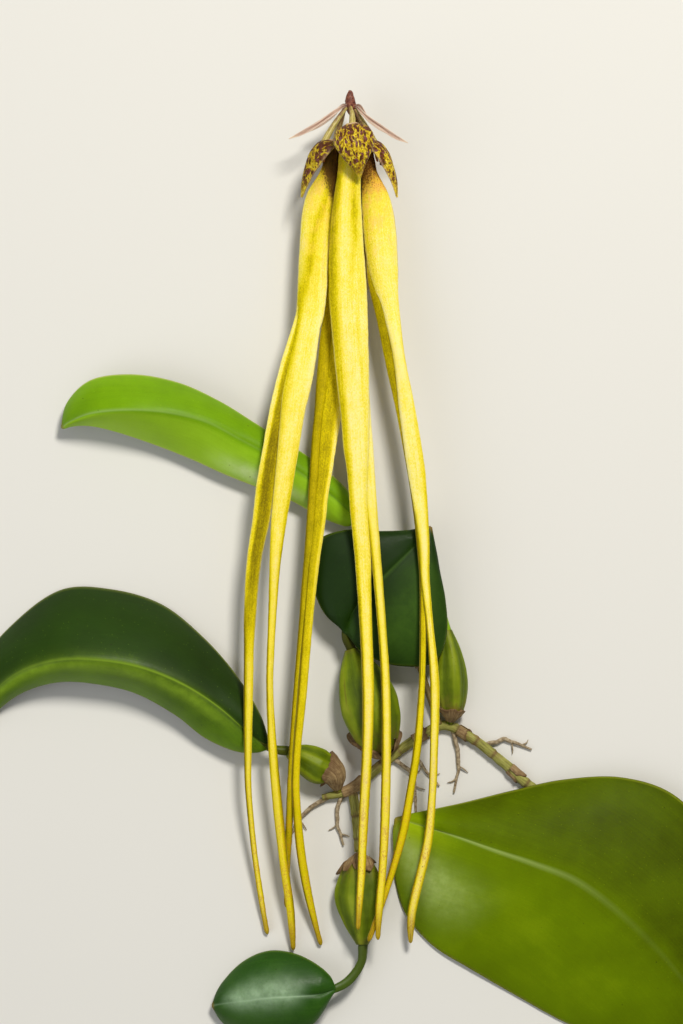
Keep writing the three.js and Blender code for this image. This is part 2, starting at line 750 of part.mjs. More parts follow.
// Each leaf is listed from base to apex as [midrib, one margin, the other margin]; its two halves
// bulge by swell millimetres. The petiole runs from the pseudobulb's top into the blade.
const LEAVES = [
  {
    name: "leaf_1",
    swell: 1.6,
    petiole: [
      [-19.4, -197.1, 5.4, 1.5],
      [-23, -196.6, 6, 1.3],
      [-27, -195.8, 7.4, 1.5],
    ],
    blade: [
      [[-24.6, -196.3, 6.6], [-24.2, -195.2, 6.3], [-25, -197.4, 6.3]],
      [[-31, -191.2, 9], [-26.8, -186.6, 6.2], [-33.2, -197.6, 6]],
      [[-40.5, -183, 12], [-34.5, -174, 4], [-43.5, -193.5, 5]],
      [[-51, -176.4, 15], [-45, -162.3, 2], [-52.5, -186.6, 4.5]],
      [[-63, -171.6, 17], [-57, -153, 0.9], [-64.5, -180, 5]],
      [[-75, -169.5, 17.6], [-72, -148.5, 0.4], [-75, -177.3, 6]],
      [[-87, -169.5, 16.6], [-87, -148.5, 0.6], [-87, -176.4, 6.6]],
      [[-99, -173.1, 13], [-102, -159, 1.4], [-97.5, -179.1, 6]],
      [[-108.6, -180.9, 8], [-112.5, -172.5, 2.4], [-105, -183.9, 4]],
      [[-116.1, -193.5, 2.4], [-117, -192.9, 1.8], [-115, -194.4, 1.8]],
    ],
  },
  {
    name: "leaf_2",
    swell: 1.2,
    petiole: [
      [0, -165.4, 7.5, 1.5],
      [-1.2, -162.9, 8.8, 1.3],
      [-0.9, -159, 10.4, 1.3],
    ],
    blade: [
      [[-1.6, -161.4, 10], [-3, -160.2, 9.8], [-0.4, -162.6, 9.8]],
      [[0, -156.9, 11], [-8.1, -155.1, 10], [3.6, -167.1, 10]],
      [[3.6, -151.2, 12], [-11.4, -145.5, 9.3], [13.5, -171.3, 9.9]],
      [[9, -145.8, 12.5], [-9.6, -133.8, 9.3], [25.8, -170.1, 9.9]],
      [[14.1, -140.7, 12.3], [-1.5, -130.5, 9.6], [29.1, -162, 10]],
      [[18.6, -136.2, 11.6], [8.4, -130.8, 9.6], [28.8, -151.5, 10]],
      [[21.9, -132.6, 10.8], [18, -130.5, 9.7], [27, -142.5, 9.9]],
      [[24.3, -129.6, 10], [23.4, -129.3, 9.8], [25.2, -131.1, 9.8]],
    ],
  },
  {
    name: "leaf_3",
    swell: 1.4,
    petiole: [
      [29, -160.3, 4.4, 1.4],
      [27.4, -155.4, 4, 1.2],
      [21, -148.8, 3, 1.1],
      [13.5, -141.6, 2.2, 1.1],
      [7.5, -135, 2.4, 1.1],
      [3.6, -129, 4.8, 1.3],
      [0.6, -124.8, 6, 1.4],
    ],
    blade: [
      [[2.4, -127.5, 5.4], [3.6, -124.5, 5.2], [0.6, -130.2, 5.2]],
      [[-4.5, -120.9, 7.5], [-1.5, -117.6, 5.2], [-7.2, -127.5, 4.4]],
      [[-15, -113.1, 9.5], [-11.4, -109.2, 5.2], [-18.3, -121.5, 3.6]],
      [[-24, -108, 10.8], [-19.8, -103.8, 5.5], [-28.2, -117.6, 3]],
      [[-33, -103.2, 12.5], [-28.8, -98.1, 6], [-37.8, -113.8, 2]],
      [[-43.5, -97.8, 15], [-39, -91.8, 7], [-48, -109.2, 1]],
      [[-55.5, -95, 17], [-51.6, -86.1, 8], [-60, -104.5, 0.2]],
      [[-67.5, -94.4, 16.5], [-66, -83.6, 8], [-71.6, -100.7, 1.4]],
      [[-77.4, -95.4, 13], [-78.6, -85.5, 6.5], [-79.2, -99.1, 4]],
      [[-84, -97.8, 8.5], [-85.2, -91.8, 4.8], [-84.6, -99.4, 5.4]],
      [[-86.8, -99.6, 5], [-87.2, -98.4, 4.6], [-86.6, -100.2, 4.6]],
    ],
  },
  {
    name: "leaf_4",
    swell: 2,
    petiole: [
      [122.3, -282.2, 5, 1.5],
      [117, -284.4, 5, 1.4],
      [112.5, -283.2, 5, 1.5],
      [108, -278, 6.4, 1.6],
    ],
    blade: [
      [[109.8, -281.1, 5.2], [111.6, -279.3, 4.9], [107.4, -282.9, 4.9]],
      [[106.2, -275.1, 8], [114.9, -267, 4.6], [99, -287.1, 2.5]],
      [[99.9, -265.5, 11], [116, -248, 4.9], [82.5, -285.6, 1]],
      [[91.5, -255.6, 13], [112.5, -228, 5.1], [66, -279.9, 0.6]],
      [[79.5, -244.2, 14], [98, -210.6, 5.1], [51, -271.8, 0.4]],
      [[67.5, -235.5, 14], [82.5, -205.2, 5.3], [36.6, -263.4, 0.6]],
      [[55.5, -230.7, 13], [64.5, -205.8, 5.3], [24.6, -255.9, 0.6]],
      [[43.8, -226.8, 11.5], [48, -209.4, 4.6], [16.8, -246.6, 0.8]],
      [[31.5, -222.6, 9], [33.6, -213, 3.8], [13.8, -237.3, 1.2]],
      [[21, -219.5, 6], [22.5, -215.4, 3], [13.1, -228, 2]],
      [[13.8, -217.8, 3], [14.1, -217.2, 2.6], [12.9, -219, 2.6]],
    ],
  },
  {
    name: "leaf_5",
    swell: 1.4,
    petiole: [
      [3.9, -256.4, 5, 1.5],
      [3.4, -261, 5.2, 1.3],
      [-0.6, -266.6, 6.2, 1.4],
      [-7, -269.8, 8.4, 1.5],
    ],
    blade: [
      [[-4.6, -269, 7.8], [-4, -267, 7.4], [-5.4, -271.4, 7.4]],
      [[-10.5, -270.4, 9.6], [-8.6, -262.4, 6.6], [-11, -279.6, 6]],
      [[-17.5, -270.8, 11.2], [-16.4, -258.4, 4.6], [-17.4, -283.8, 3]],
      [[-24.5, -270.8, 11.4], [-24.6, -256.8, 3.4], [-24.8, -285, 1.4]],
      [[-31.5, -270.2, 9.8], [-32.2, -258.2, 2.6], [-31.6, -283, 0.7]],
      [[-37.4, -269.2, 6.6], [-38.4, -262.4, 2.2], [-37.6, -277, 0.8]],
      [[-41.6, -268, 3.2], [-42, -266.6, 2.4], [-41.6, -269.8, 2.4]],
    ],
  },
];

function leaf({ blade, petiole, swell }) {
  const [midrib, left, right] = [0, 1, 2].map(
    (k) => new THREE.CatmullRomCurve3(blade.map((row) => new THREE.Vector3(...row[k]))),
  );
  const grid = [];
  for (let i = 0; i <= LEAF_ROWS; i++) {
    const u = i / LEAF_ROWS;
    const centre = midrib.getPoint(u);
    const row = [];
    for (let j = -LEAF_HALF_ACROSS; j <= LEAF_HALF_ACROSS; j++) {
      const s = Math.abs(j) / LEAF_HALF_ACROSS;
      const margin = (j < 0 ? left : right).getPoint(u);
      const at = centre.clone().lerp(margin, s);
      const fullness = Math.min(1, centre.distanceTo(margin) / LEAF_SWELL_WIDTH);
      at.z += swell * fullness * 4 * s * (1 - s);
      row.push(at);
    }
    grid.push(row);
  }
  return sheet(grid, LEAF_THICKNESS).add(sweep(petiole, round(8), PETIOLE_RINGS));
}

// ---------------------------------------------------------------- assembly

BLOOMS.forEach(addBloom);
add("scape", scape(), "scape");
addBracts();
add("rhizome", rhizome(), "rhizome");
BULBS.forEach((stations, k) => {
  add(`pseudobulb_${k + 1}`, sweep(stations, RIDGED, BULB_RINGS), "bulb");
});
LEAVES.forEach((shape) => add(shape.name, leaf(shape), "leaf"));

// The origin is the middle of the base of the plant's bounding box.
const box = new THREE.Box3().setFromObject(plant, true);
plant.position.set(-(box.min.x + box.max.x) / 2, -(box.min.y + box.max.y) / 2, -box.min.z);

const part = new THREE.Group();
part.add(plant);
export default part;
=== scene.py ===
# A long-tailed bulbophyllum orchid laid on a pale surface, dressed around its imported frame.
# Shapes are written in millimetres in a working frame whose origin lies under the umbel's tip;
# ORIGIN moves them into the row's frame, and every mesh is stored in metres.
import math

import bpy
import numpy as np
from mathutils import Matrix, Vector


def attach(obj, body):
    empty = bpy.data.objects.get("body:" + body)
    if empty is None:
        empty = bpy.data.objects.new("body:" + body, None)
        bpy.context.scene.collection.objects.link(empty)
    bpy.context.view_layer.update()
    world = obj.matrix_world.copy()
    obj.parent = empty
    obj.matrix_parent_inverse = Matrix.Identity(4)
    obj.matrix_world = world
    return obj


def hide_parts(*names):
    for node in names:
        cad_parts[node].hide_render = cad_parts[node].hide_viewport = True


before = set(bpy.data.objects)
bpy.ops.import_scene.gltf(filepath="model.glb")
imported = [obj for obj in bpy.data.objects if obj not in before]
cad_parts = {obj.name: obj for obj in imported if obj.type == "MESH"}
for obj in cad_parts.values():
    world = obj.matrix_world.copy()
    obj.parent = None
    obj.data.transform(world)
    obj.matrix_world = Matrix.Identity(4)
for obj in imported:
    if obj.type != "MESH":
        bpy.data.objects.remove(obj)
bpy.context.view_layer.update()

MM = 0.001
ORIGIN = np.array([-12.467, 143.078, 0.0])
UP = np.array([0.0, 0.0, 1.0])
# What lies below SETTLE is pressed flat on the surface, down to FLOOR_GAP.
SETTLE = 0.4
FLOOR_GAP = 0.01

# How finely each form is divided: along it, and across or round it.
FINE = {
    "sepal": (430, 19), "hood": (90, 31), "petal": (44, 17), "lip": (48, 28), "stalk": (70, 24),
    "column": (30, 20), "tooth": (12, 10), "scape": (460, 26), "scale": (10, 10), "bract": (110, 19),
    "sheath": (40, 41), "bulb sheath": (46, 61), "collar": (24, 41), "rhizome": (560, 26),
    "offshoot": (70, 26), "root": (90, 12), "rootlet": (30, 8), "bulb": (110, 80), "leaf": (150, 61),
    "petiole": (150, 30),
}


# ---------------------------------------------------------------- numbers


def unit(v):
    return v / np.maximum(np.linalg.norm(v, axis=-1, keepdims=True), 1e-9)


def lattice(p, seed):
    """A repeatable number from -1 to 1 for each whole point."""
    n = p[..., 0] * 374761393 + p[..., 1] * 668265263 + p[..., 2] * 1442695041 + seed * 1274126177
    n = ((n ^ (n >> 13)) * 1274126177) & 0x7FFFFFFF
    n = n ^ (n >> 15)
    return (n & 0xFFFF) / 32767.5 - 1


def noise(x, y, seed, z=0.0):
    """Smooth value noise from -1 to 1."""
    p = np.stack(np.broadcast_arrays(*(np.asarray(v, float) for v in (x, y, z))), -1)
    cell = np.floor(p).astype(np.int64)
    f = p - cell
    f = f * f * (3 - 2 * f)
    total = 0
    for corner in np.ndindex(2, 2, 2):
        total = total + np.prod(np.where(corner, f, 1 - f), -1) * lattice(cell + corner, seed)
    return total


def fbm(x, y, seed, z=0.0):
    """Noise of three sizes, each half as large and half as strong as the one before."""
    total = 0
    for k in range(3):
        total = total + 0.5**k * noise(x * 2**k, y * 2**k, seed + k, z * 2**k)
    return total / 1.75


def bell(x, centre, width):
    return np.exp(-(((x - centre) / width) ** 2))


def step(x, low, high):
    t = np.clip((x - low) / (high - low), 0, 1)
    return t * t * (3 - 2 * t)


def rounded(x):
    """A quarter circle's height over x from 0 to 1, for blunt ends."""
    return np.sqrt(np.clip(1 - (1 - np.clip(x, 0, 1)) ** 2, 0.01, 1))


def spread(count, edge):
    """Steps from -1 to 1 in one row, closer together towards both ends as edge grows."""
    k = np.linspace(0, 1, count)
    return ((1 - edge) * (2 * k - 1) - edge * np.cos(math.pi * k))[None, :]


def run(points):
    """How far along a line each of its points lies."""
    return np.concatenate([[0], np.cumsum(np.linalg.norm(np.diff(points, axis=0), axis=1))])


def spline(rows, u):
    """A centripetal Catmull-Rom curve through rows, whose first three columns are the point."""
    p = np.asarray(rows, float)
    count = len(p) - 1
    p = np.vstack([2 * p[0] - p[1], p, 2 * p[-1] - p[-2]])
    t = np.clip(u, 0, 1) * count
    i = np.minimum(t.astype(int), count - 1)
    w = (t - i)[:, None]
    p0, p1, p2, p3 = p[i], p[i + 1], p[i + 2], p[i + 3]

    def gap(a, b):
        return np.maximum(np.sum((a[:, :3] - b[:, :3]) ** 2, 1) ** 0.25, 1e-4)[:, None]

    d0, d1, d2 = gap(p1, p0), gap(p2, p1), gap(p3, p2)
    m1 = ((p1 - p0) / d0 - (p2 - p0) / (d0 + d1) + (p2 - p1) / d1) * d1
    m2 = ((p2 - p1) / d1 - (p3 - p1) / (d1 + d2) + (p3 - p2) / d2) * d1
    return p1 + m1 * w + (3 * (p2 - p1) - 2 * m1 - m2) * w**2 + (2 * (p1 - p2) + m1 + m2) * w**3


def even(rows, count, closing=1.0):
    """The curve through rows in equal steps, or in steps that close up towards its end as closing
    grows past 1. Returns the rows and their lengths."""
    u = np.linspace(0, 1, 12 * len(rows) + 1)
    length = run(spline(rows, u)[:, :3])
    at = length[-1] * (1 - (1 - np.linspace(0, 1, count)) ** closing)
    return spline(rows, np.interp(at, length, u)), at


def axes(points):
    """Along, level side and top directions of a line."""
    along = unit(np.gradient(points, axis=0))
    side = np.cross(UP, along)
    side = unit(np.where(np.linalg.norm(side, axis=1, keepdims=True) < 0.05, [1.0, 0.0, 0.0], side))
    return along, side, np.cross(along, side)


def swept(line, a, b):
    """Points round a line: a to its level side and b to its top."""
    _, side, top = axes(line)
    return line[:, None] + side[:, None] * a[..., None] + top[:, None] * b[..., None]


def full_rows(stations):
    """Stations of x, y, z, half width and half height, where the last may be left out."""
    return [list(s) + [s[3]] * (5 - len(s)) for s in stations]


def joined(stations, reach=1.0):
    """The stations led back by reach millimetres, so that the piece meets what it grows from."""
    first, second = np.array(stations[0][:3], float), np.array(stations[1][:3], float)
    back = first + unit(first - second) * reach
    return [(*back, *stations[0][3:]), *stations]


def cut(stations, start, stop, spare=0.0):
    """The rows of a tube between two shares of its stations, widened by spare."""
    rows = spline(full_rows(stations), np.linspace(start, stop, 7))
    rows[:, 3:] += spare
    return rows.tolist()


# ---------------------------------------------------------------- shells and pieces
# A shell is points, faces and named numbers for each point. Rings of points make a closed skin.


def skin(rings, data):
    n, m = rings.shape[:2]
    points = np.vstack([rings.reshape(-1, 3), rings[0].mean(0), rings[-1].mean(0)])
    grid = np.arange(n * m).reshape(n, m)
    over = np.roll(grid, -1, axis=1)
    faces = np.stack([grid[:-1], over[:-1], over[1:], grid[1:]], -1).reshape(-1, 4).tolist()
    faces += [(n * m, b, a) for a, b in zip(grid[0].tolist(), over[0].tolist())]
    faces += [(n * m + 1, a, b) for a, b in zip(grid[-1].tolist(), over[-1].tolist())]
    numbers = {}
    for name, values in data.items():
        values = np.broadcast_to(values, (n, m))
        numbers[name] = np.concatenate([values.reshape(-1), [values[0].mean(), values[-1].mean()]])
    return points, faces, numbers


def blade(grid, s, thickness, power, data):
    """A sheet round a grid of points, thinned to nothing at its edges, where s is -1 and 1."""
    normal = unit(np.cross(np.gradient(grid, axis=0), np.gradient(grid, axis=1)))
    profile = np.sqrt(np.clip(1 - np.abs(s) ** power, 0, 1))
    lift = normal * (np.broadcast_to(thickness, grid.shape[:2]) * profile / 2)[..., None]
    rings = np.concatenate([grid + lift, (grid - lift)[:, -2:0:-1]], axis=1)
    numbers = {"face": np.where(np.arange(rings.shape[1]) < grid.shape[1], 1.0, -1.0)}
    for name, values in data.items():
        values = np.broadcast_to(values, grid.shape[:2])
        numbers[name] = np.concatenate([values, values[:, -2:0:-1]], axis=1)
    return skin(rings, numbers)


def tube(stations, fine, radial=None, data=()):
    """A tube along stations. radial(u, angle) scales it, and data holds its numbers or makes them
    from (u, angle, rings)."""
    count, sides = FINE[fine]
    rows, length = even(full_rows(stations), count)
    angle = np.linspace(0, 2 * math.pi, sides, endpoint=False)[None, :]
    u = (length / length[-1])[:, None]
    scale = radial(u, angle) if radial else 1.0
    a = np.cos(angle) * rows[:, 3:4] * scale
    b = np.sin(angle) * rows[:, 4:5] * scale
    rings = swept(rows[:, :3], a, b)
    numbers = {"u": u, "angle": np.cos(angle), "top": np.sin(angle), "mm": length[:, None]}
    numbers.update(data(u, angle, rings) if callable(data) else data)
    return skin(rings, numbers)


def settled(z):
    room = SETTLE - FLOOR_GAP
    return np.where(z < SETTLE, FLOOR_GAP + room * np.exp((np.minimum(z, SETTLE) - SETTLE) / room), z)


def piece(name, shells, material, slot, *nodes):
    """Joins shells into one object that rides on the plant and stands for the named nodes."""
    faces, start = [], 0
    for shell_points, shell_faces, _ in shells:
        faces += [tuple(start + i for i in face) for face in shell_faces]
        start += len(shell_points)
    points = np.vstack([shell[0] for shell in shells]) + ORIGIN
    points[:, 2] = settled(points[:, 2])
    mesh = bpy.data.meshes.new(name)
    mesh.from_pydata((points * MM).tolist(), [], faces)
    for key in sorted({key for shell in shells for key in shell[2]}):
        values = [numbers.get(key, np.zeros(len(own))) for own, _, numbers in shells]
        made = mesh.attributes.new(key, "FLOAT", "POINT")
        made.data.foreach_set("value", np.concatenate(values).astype(np.float32))
    mesh.validate()
    mesh.shade_smooth()
    mesh.materials.append(material)
    made = bpy.data.objects.new(name, mesh)
    bpy.context.scene.collection.objects.link(made)
    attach(made, "root")
    if nodes:
        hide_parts(*nodes)


# ---------------------------------------------------------------- materials


def rgb(red, green, blue):
    """A colour given in 0 to 255 as seen, as the shader's own numbers."""
    seen = [c / 255 for c in (red, green, blue)]
    return tuple(c / 12.92 if c <= 0.04045 else ((c + 0.055) / 1.055) ** 2.4 for c in seen) + (1.0,)


class Graph:
    """A material whose nodes are made by short calls. An input is a number or a socket, colours are
    given in 0 to 255, and graph["name"] is a number stored on the piece's points."""

    def __init__(self, name, soft=(), **settings):
        self.material = bpy.data.materials.new(name)
        self.material.use_nodes = True
        self.tree = self.material.node_tree
        self.shader = self.tree.nodes["Principled BSDF"]
        self.mm = self.at()
        for key, value in zip(("Weight", "Scale", "Radius"), soft):
            self.put(self.shader.inputs[f"Subsurface {key}"], value)
        for key, value in settings.items():
            self.put(self.shader.inputs[key.replace("_", " ")], value)

    def put(self, socket, value):
        if isinstance(value, bpy.types.NodeSocket):
            self.tree.links.new(value, socket)
        else:
            socket.default_value = value

    def node(self, kind, inputs, **settings):
        made = self.tree.nodes.new(kind)
        for key, value in settings.items():
            setattr(made, key, value)
        for key, value in inputs.items():
            self.put(made.inputs[key], value)
        return made

    def __getitem__(self, name):
        return self.node("ShaderNodeAttribute", {}, attribute_name=name).outputs["Fac"]

    def math(self, operation, a, b, c=0.0):
        return self.node("ShaderNodeMath", {0: a, 1: b, 2: c}, operation=operation).outputs[0]

    def times(self, a, b):
        return self.math("MULTIPLY", a, b)

    def minus(self, a, b):
        return self.math("SUBTRACT", a, b)

    def scaled(self, value, size, add=0.0):
        return self.math("MULTIPLY_ADD", value, size, add)

    def vector(self, operation, a, b):
        return self.node("ShaderNodeVectorMath", {0: a, 1: b}, operation=operation).outputs[0]

    def remap(self, value, low, high, new_low=0.0, new_high=1.0):
        inputs = {0: value, 1: low, 2: high, 3: new_low, 4: new_high}
        return self.node("ShaderNodeMapRange", inputs, interpolation_type="SMOOTHSTEP").outputs[0]

    def mix(self, share, a, b):
        a, b = (rgb(*colour) if isinstance(colour, tuple) else colour for colour in (a, b))
        return self.node("ShaderNodeMix", {0: share, 6: a, 7: b}, data_type="RGBA").outputs[2]

    def tint(self, share, amount, *colour):
        """Mixes a colour over what the material has so far, where share is high."""
        share = share if amount == 1 else self.times(share, amount)
        self.colour = self.mix(share, self.colour, colour)

    def ramp(self, value, *stops):
        """Colours along value, each given as (where, red, green, blue)."""
        made = self.node("ShaderNodeValToRGB", {0: value})
        band = made.color_ramp
        while len(band.elements) < len(stops):
            band.elements.new(0.5)
        for element, (at, *colour) in zip(band.elements, stops):
            element.position = at
            element.color = rgb(*colour)
        return made.outputs[0]

    def at(self, y=1000.0, z=1000.0):
        """The point on the piece, in millimetres where the sizes are 1000."""
        place = self.node("ShaderNodeTexCoord", {}).outputs["Object"]
        return self.vector("MULTIPLY", place, (1000.0, y, z))

    def along(self, across, length, other=0.0):
        """A point made of stored numbers, for patterns that follow the piece."""
        return self.node("ShaderNodeCombineXYZ", {0: across, 1: length, 2: other}).outputs[0]

    def noise(self, scale, detail=2.0, rough=0.5, at=None, output="Fac"):
        inputs = {"Scale": scale, "Detail": detail, "Roughness": rough, "Vector": at or self.mm}
        return self.node("ShaderNodeTexNoise", inputs).outputs[output]

    def stripes(self, across, often, length, other, *look):
        """Noise drawn out along the piece."""
        at = self.along(self.scaled(self[across], often), self.scaled(self["mm"], length), other)
        return self.noise(*look, at=at)

    def cells(self, scale, at=None, randomness=1.0, feature="F1"):
        """The distance to the nearest of scattered points."""
        inputs = {"Scale": scale, "Randomness": randomness, "Vector": at or self.mm}
        if feature == "SMOOTH_F1":
            inputs["Smoothness"] = 0.3
        return self.node("ShaderNodeTexVoronoi", inputs, feature=feature).outputs["Distance"]

    def dots(self, scale, outside, inside, at=None):
        return self.remap(self.cells(scale, at), outside, inside)

    def finish(self, roughness, height, strength, distance):
        inputs = {"Height": height, "Strength": strength, "Distance": distance * MM}
        self.put(self.shader.inputs["Base Color"], self.colour)
        self.put(self.shader.inputs["Roughness"], roughness)
        self.put(self.shader.inputs["Normal"], self.node("ShaderNodeBump", inputs).outputs[0])
        return self.material


def sepal_material():
    """Straw yellow, finely grained and peach-tinted where it leaves the hood, with painted shade that makes
    it olive in its folds and brown under the hood, and painted highlights.
    """
    g = Graph("sepal", (0.25, 0.0012, (1.0, 0.85, 0.12)), IOR=1.42, Specular_IOR_Level=0.09)
    grain = g.noise(2.7, 2.0, 0.65, g.at(550))
    patches = g.noise(0.42, 3.0, 0.55, g.at(550))
    fine = g.noise(6.0, 2.0, 0.6)
    streak = g.stripes("across", 1.9, 0.045, 0.0, 1.3, 3.0, 0.55)
    grained = g.minus(grain, 0.5)
    tone = g.scaled(grained, g.scaled(g["tail"], -0.26, 0.64), g["tone"])
    tone = g.scaled(g.minus(fine, 0.5), 0.3, tone)
    calm = g.scaled(g["tail"], -0.7, 1.0)
    tone = g.scaled(g.minus(streak, 0.5), g.scaled(calm, 0.42), tone)
    tone = g.scaled(g.minus(patches, 0.5), 0.3, tone)
    # The tone carries painted light and shade, so the olive end is painted shade and the pale end painted
    # highlight.
    olive, straw = (0.0, 128, 112, 0), (0.28, 178, 160, 0)
    yellow, light, pale = (0.55, 226, 206, 8), (0.8, 247, 226, 82), (1.0, 252, 235, 148)
    g.colour = g.ramp(tone, olive, straw, yellow, light, pale)
    g.tint(g.times(g.remap(patches, 0.46, 0.62), g["peach"]), 0.6, 250, 200, 92)
    blush = g.remap(g.scaled(patches, 0.9, g.scaled(g["flush"], 0.55)), 0.5, 0.85)
    g.tint(g.times(g["flush"], blush), 0.7, 226, 152, 66)
    g.tint(g.remap(g.minus(g.scaled(g["flush"], 0.46), g.cells(2.0)), -0.02, 0.06), 0.7, 166, 72, 34)
    # Painted shadow of the hood: dark brown over the base, mixed with its own brown, with a ragged edge.
    g.tint(g.remap(g.scaled(grained, 0.9, g["deep"]), 0.22, 0.8), 0.93, 62, 30, 8)
    g.tint(g.times(g.dots(0.4, 0.1, 0.03, g.at(700)), g["aged"]), 0.8, 128, 74, 22)
    worn = g.remap(g.scaled(grain, 0.6, g.scaled(patches, 0.4)), 0.47, 0.62)
    g.tint(g.times(worn, g["aged"]), 0.7, 196, 138, 34)
    g.tint(g["tip"], 0.75, 164, 132, 24)
    g.tint(g["edge"], 0.5, 250, 238, 164)
    height = g.scaled(g.cells(2.9, feature="SMOOTH_F1"), -1.0, g.scaled(grain, 0.9))
    height = g.scaled(fine, 0.5, g.scaled(streak, 0.25, height))
    return g.finish(g.remap(grain, 0.3, 0.7, 0.48, 0.66), height, 0.7, 0.14)


def hood_material():
    """Golden yellow under crowded purple-brown spots that run lengthwise, with a pale rim; painted shade
    browns its inner face and darkens a hood that lies in shade.
    """
    g = Graph("hood", (0.12, 0.0008, (1.0, 0.7, 0.2)), IOR=1.45, Specular_IOR_Level=0.2)
    flow = g.along(g["across"], g.scaled(g["mm"], 0.42), g["seed"])
    shift = g.vector("MULTIPLY", g.noise(1.1, 3.0, at=flow, output="Color"), (0.8, 0.6, 0.0))
    bent = g.vector("ADD", flow, shift)
    rough = g.noise(3.4, 4.0, 0.62, flow)

    def marks(scale, randomness, ragged, dense, size, low, high):
        edge = g.scaled(rough, ragged, g.scaled(g["dense"], dense, size))
        return g.remap(g.minus(edge, g.cells(scale, bent, randomness)), low, high)

    blotch = marks(1.42, 0.95, 0.56, 0.22, 0.12, -0.03, 0.04)
    fleck = marks(3.2, 1.0, 0.4, 0.26, 0.02, -0.03, 0.05)
    dust = marks(5.2, 1.0, 0.5, 0.2, -0.06, -0.04, 0.06)
    tone = g.scaled(g.noise(1.1, 3.0), 0.8, g.scaled(g["pale"], 0.08))
    g.colour = g.ramp(tone, (0.24, 158, 118, 10), (0.44, 214, 188, 26), (0.64, 250, 232, 100))
    g.tint(dust, 0.5, 138, 66, 16)
    g.tint(g["top"], 0.5, 168, 124, 22)
    spots = g.ramp(g.noise(1.2), (0.38, 54, 16, 4), (0.52, 92, 34, 20), (0.66, 112, 58, 78))
    spots = g.mix(g["top"], spots, (78, 26, 16))
    spotted = g.times(g.math("MAXIMUM", blotch, g.times(fleck, 0.85)), g.scaled(g["plain"], -0.55, 0.95))
    g.colour = g.mix(spotted, g.colour, spots)
    stripe = g.remap(g.stripes("across", 4.0, 0.25, g["seed"], 1.4), 0.5, 0.64)
    g.tint(g.times(stripe, g["plain"]), 0.6, 146, 88, 62)
    g.tint(g.times(g["rim"], g.scaled(g.remap(rough, 0.36, 0.56), 0.6, 0.25)), 1, 238, 204, 158)
    # Painted shade inside the hood: its inner face darkened brown.
    g.tint(g.remap(g["face"], 0.1, -0.1), 0.6, 104, 54, 22)
    # Painted shade darkens a hood that lies in shade.
    g.tint(g["dim"], 1, 48, 26, 4)
    height = g.scaled(rough, 0.6, g.scaled(g.noise(5.0), 0.6))
    return g.finish(g.remap(rough, 0.3, 0.7, 0.42, 0.6), height, 0.5, 0.12)


def petal_material():
    """Golden, flushed with red towards its point and dotted."""
    g = Graph("petal", (0.08, 0.0006), IOR=1.45)
    g.colour = g.mix(g.scaled(g["u"], 0.7, 0.1), (214, 170, 46), (150, 60, 34))
    g.tint(g.dots(2.2, 0.3, 0.16), 0.85, 96, 30, 30)
    return g.finish(0.5, g.noise(5.0), 0.3, 0.08)


def lip_material():
    """A glossy, fleshy red-brown, yellower at its hinge."""
    g = Graph("lip", (0.1, 0.0006), IOR=1.48, Coat_Weight=0.2)
    g.colour = g.mix(g.remap(g["u"], 0.0, 0.35), (196, 150, 52), (112, 34, 22))
    g.tint(g.noise(2.4, 3.0), 0.5, 64, 16, 16)
    return g.finish(0.34, g.noise(6.0), 0.25, 0.06)


def stalk_material():
    """Yellow-green, striped lengthwise, with purple-brown on one flank and in small flecks."""
    g = Graph("stalk", IOR=1.45, Specular_IOR_Level=0.4)
    stripe = g.stripes("angle", 2.4, 0.16, g["top"], 1.5)
    tone = g.scaled(stripe, 0.8, g.scaled(g.noise(1.2), 0.25))
    green = g.ramp(tone, (0.3, 138, 122, 50), (0.5, 180, 164, 84), (0.7, 214, 200, 136))
    purple = g.ramp(g.noise(1.5), (0.3, 86, 44, 34), (0.7, 132, 86, 62))
    flank = g.remap(g.scaled(g.noise(0.9, 3.0), 0.7, g["flank"]), 0.85, 1.3)
    g.colour = g.mix(g.times(flank, 0.85), green, purple)
    g.tint(g.dots(1.7, 0.2, 0.1), 0.6, 112, 52, 44)
    return g.finish(0.52, g.scaled(stripe, 1.0, g.noise(4.0)), 0.35, 0.1)


def bract_material():
    """Dry and papery: pinkish tan with darker veins and edges, whitish at its end."""
    g = Graph("bract", (0.06, 0.0005), IOR=1.4)
    vein = g.stripes("across", 3.2, 0.09, 0.0, 1.7, 3.0, 0.6)
    g.colour = g.ramp(vein, (0.28, 130, 92, 78), (0.5, 178, 144, 124), (0.72, 220, 196, 176))
    g.tint(g["edge"], 0.7, 238, 222, 202)
    g.tint(g["base"], 0.75, 98, 48, 36)
    g.tint(g["end"], 0.8, 236, 214, 184)
    g.tint(g.dots(0.9, 0.2, 0.06), 0.35, 96, 44, 38)
    return g.finish(0.72, g.scaled(vein, 1.0, g.noise(3.0)), 0.6, 0.12)


def scape_material():
    """A brownish green stem that reddens into the rachis at its tip, dotted dark red there."""
    g = Graph("scape", IOR=1.45)
    streak = g.stripes("angle", 2.0, 0.08, g["top"], 1.8, 3.0)
    g.colour = g.ramp(streak, (0.28, 70, 52, 24), (0.5, 112, 94, 44), (0.75, 146, 130, 66))
    g.tint(g.dots(1.1, 0.3, 0.14), 0.6, 72, 30, 22)
    tip = g.ramp(g.noise(1.1, 3.0), (0.3, 78, 34, 22), (0.55, 122, 66, 46), (0.75, 160, 108, 80))
    tip = g.mix(g.dots(1.5, 0.42, 0.24), tip, (72, 14, 14))
    g.colour = g.mix(g["rachis"], g.colour, tip)
    return g.finish(0.55, g.scaled(streak, 0.8, g.noise(3.0)), 0.4, 0.12)


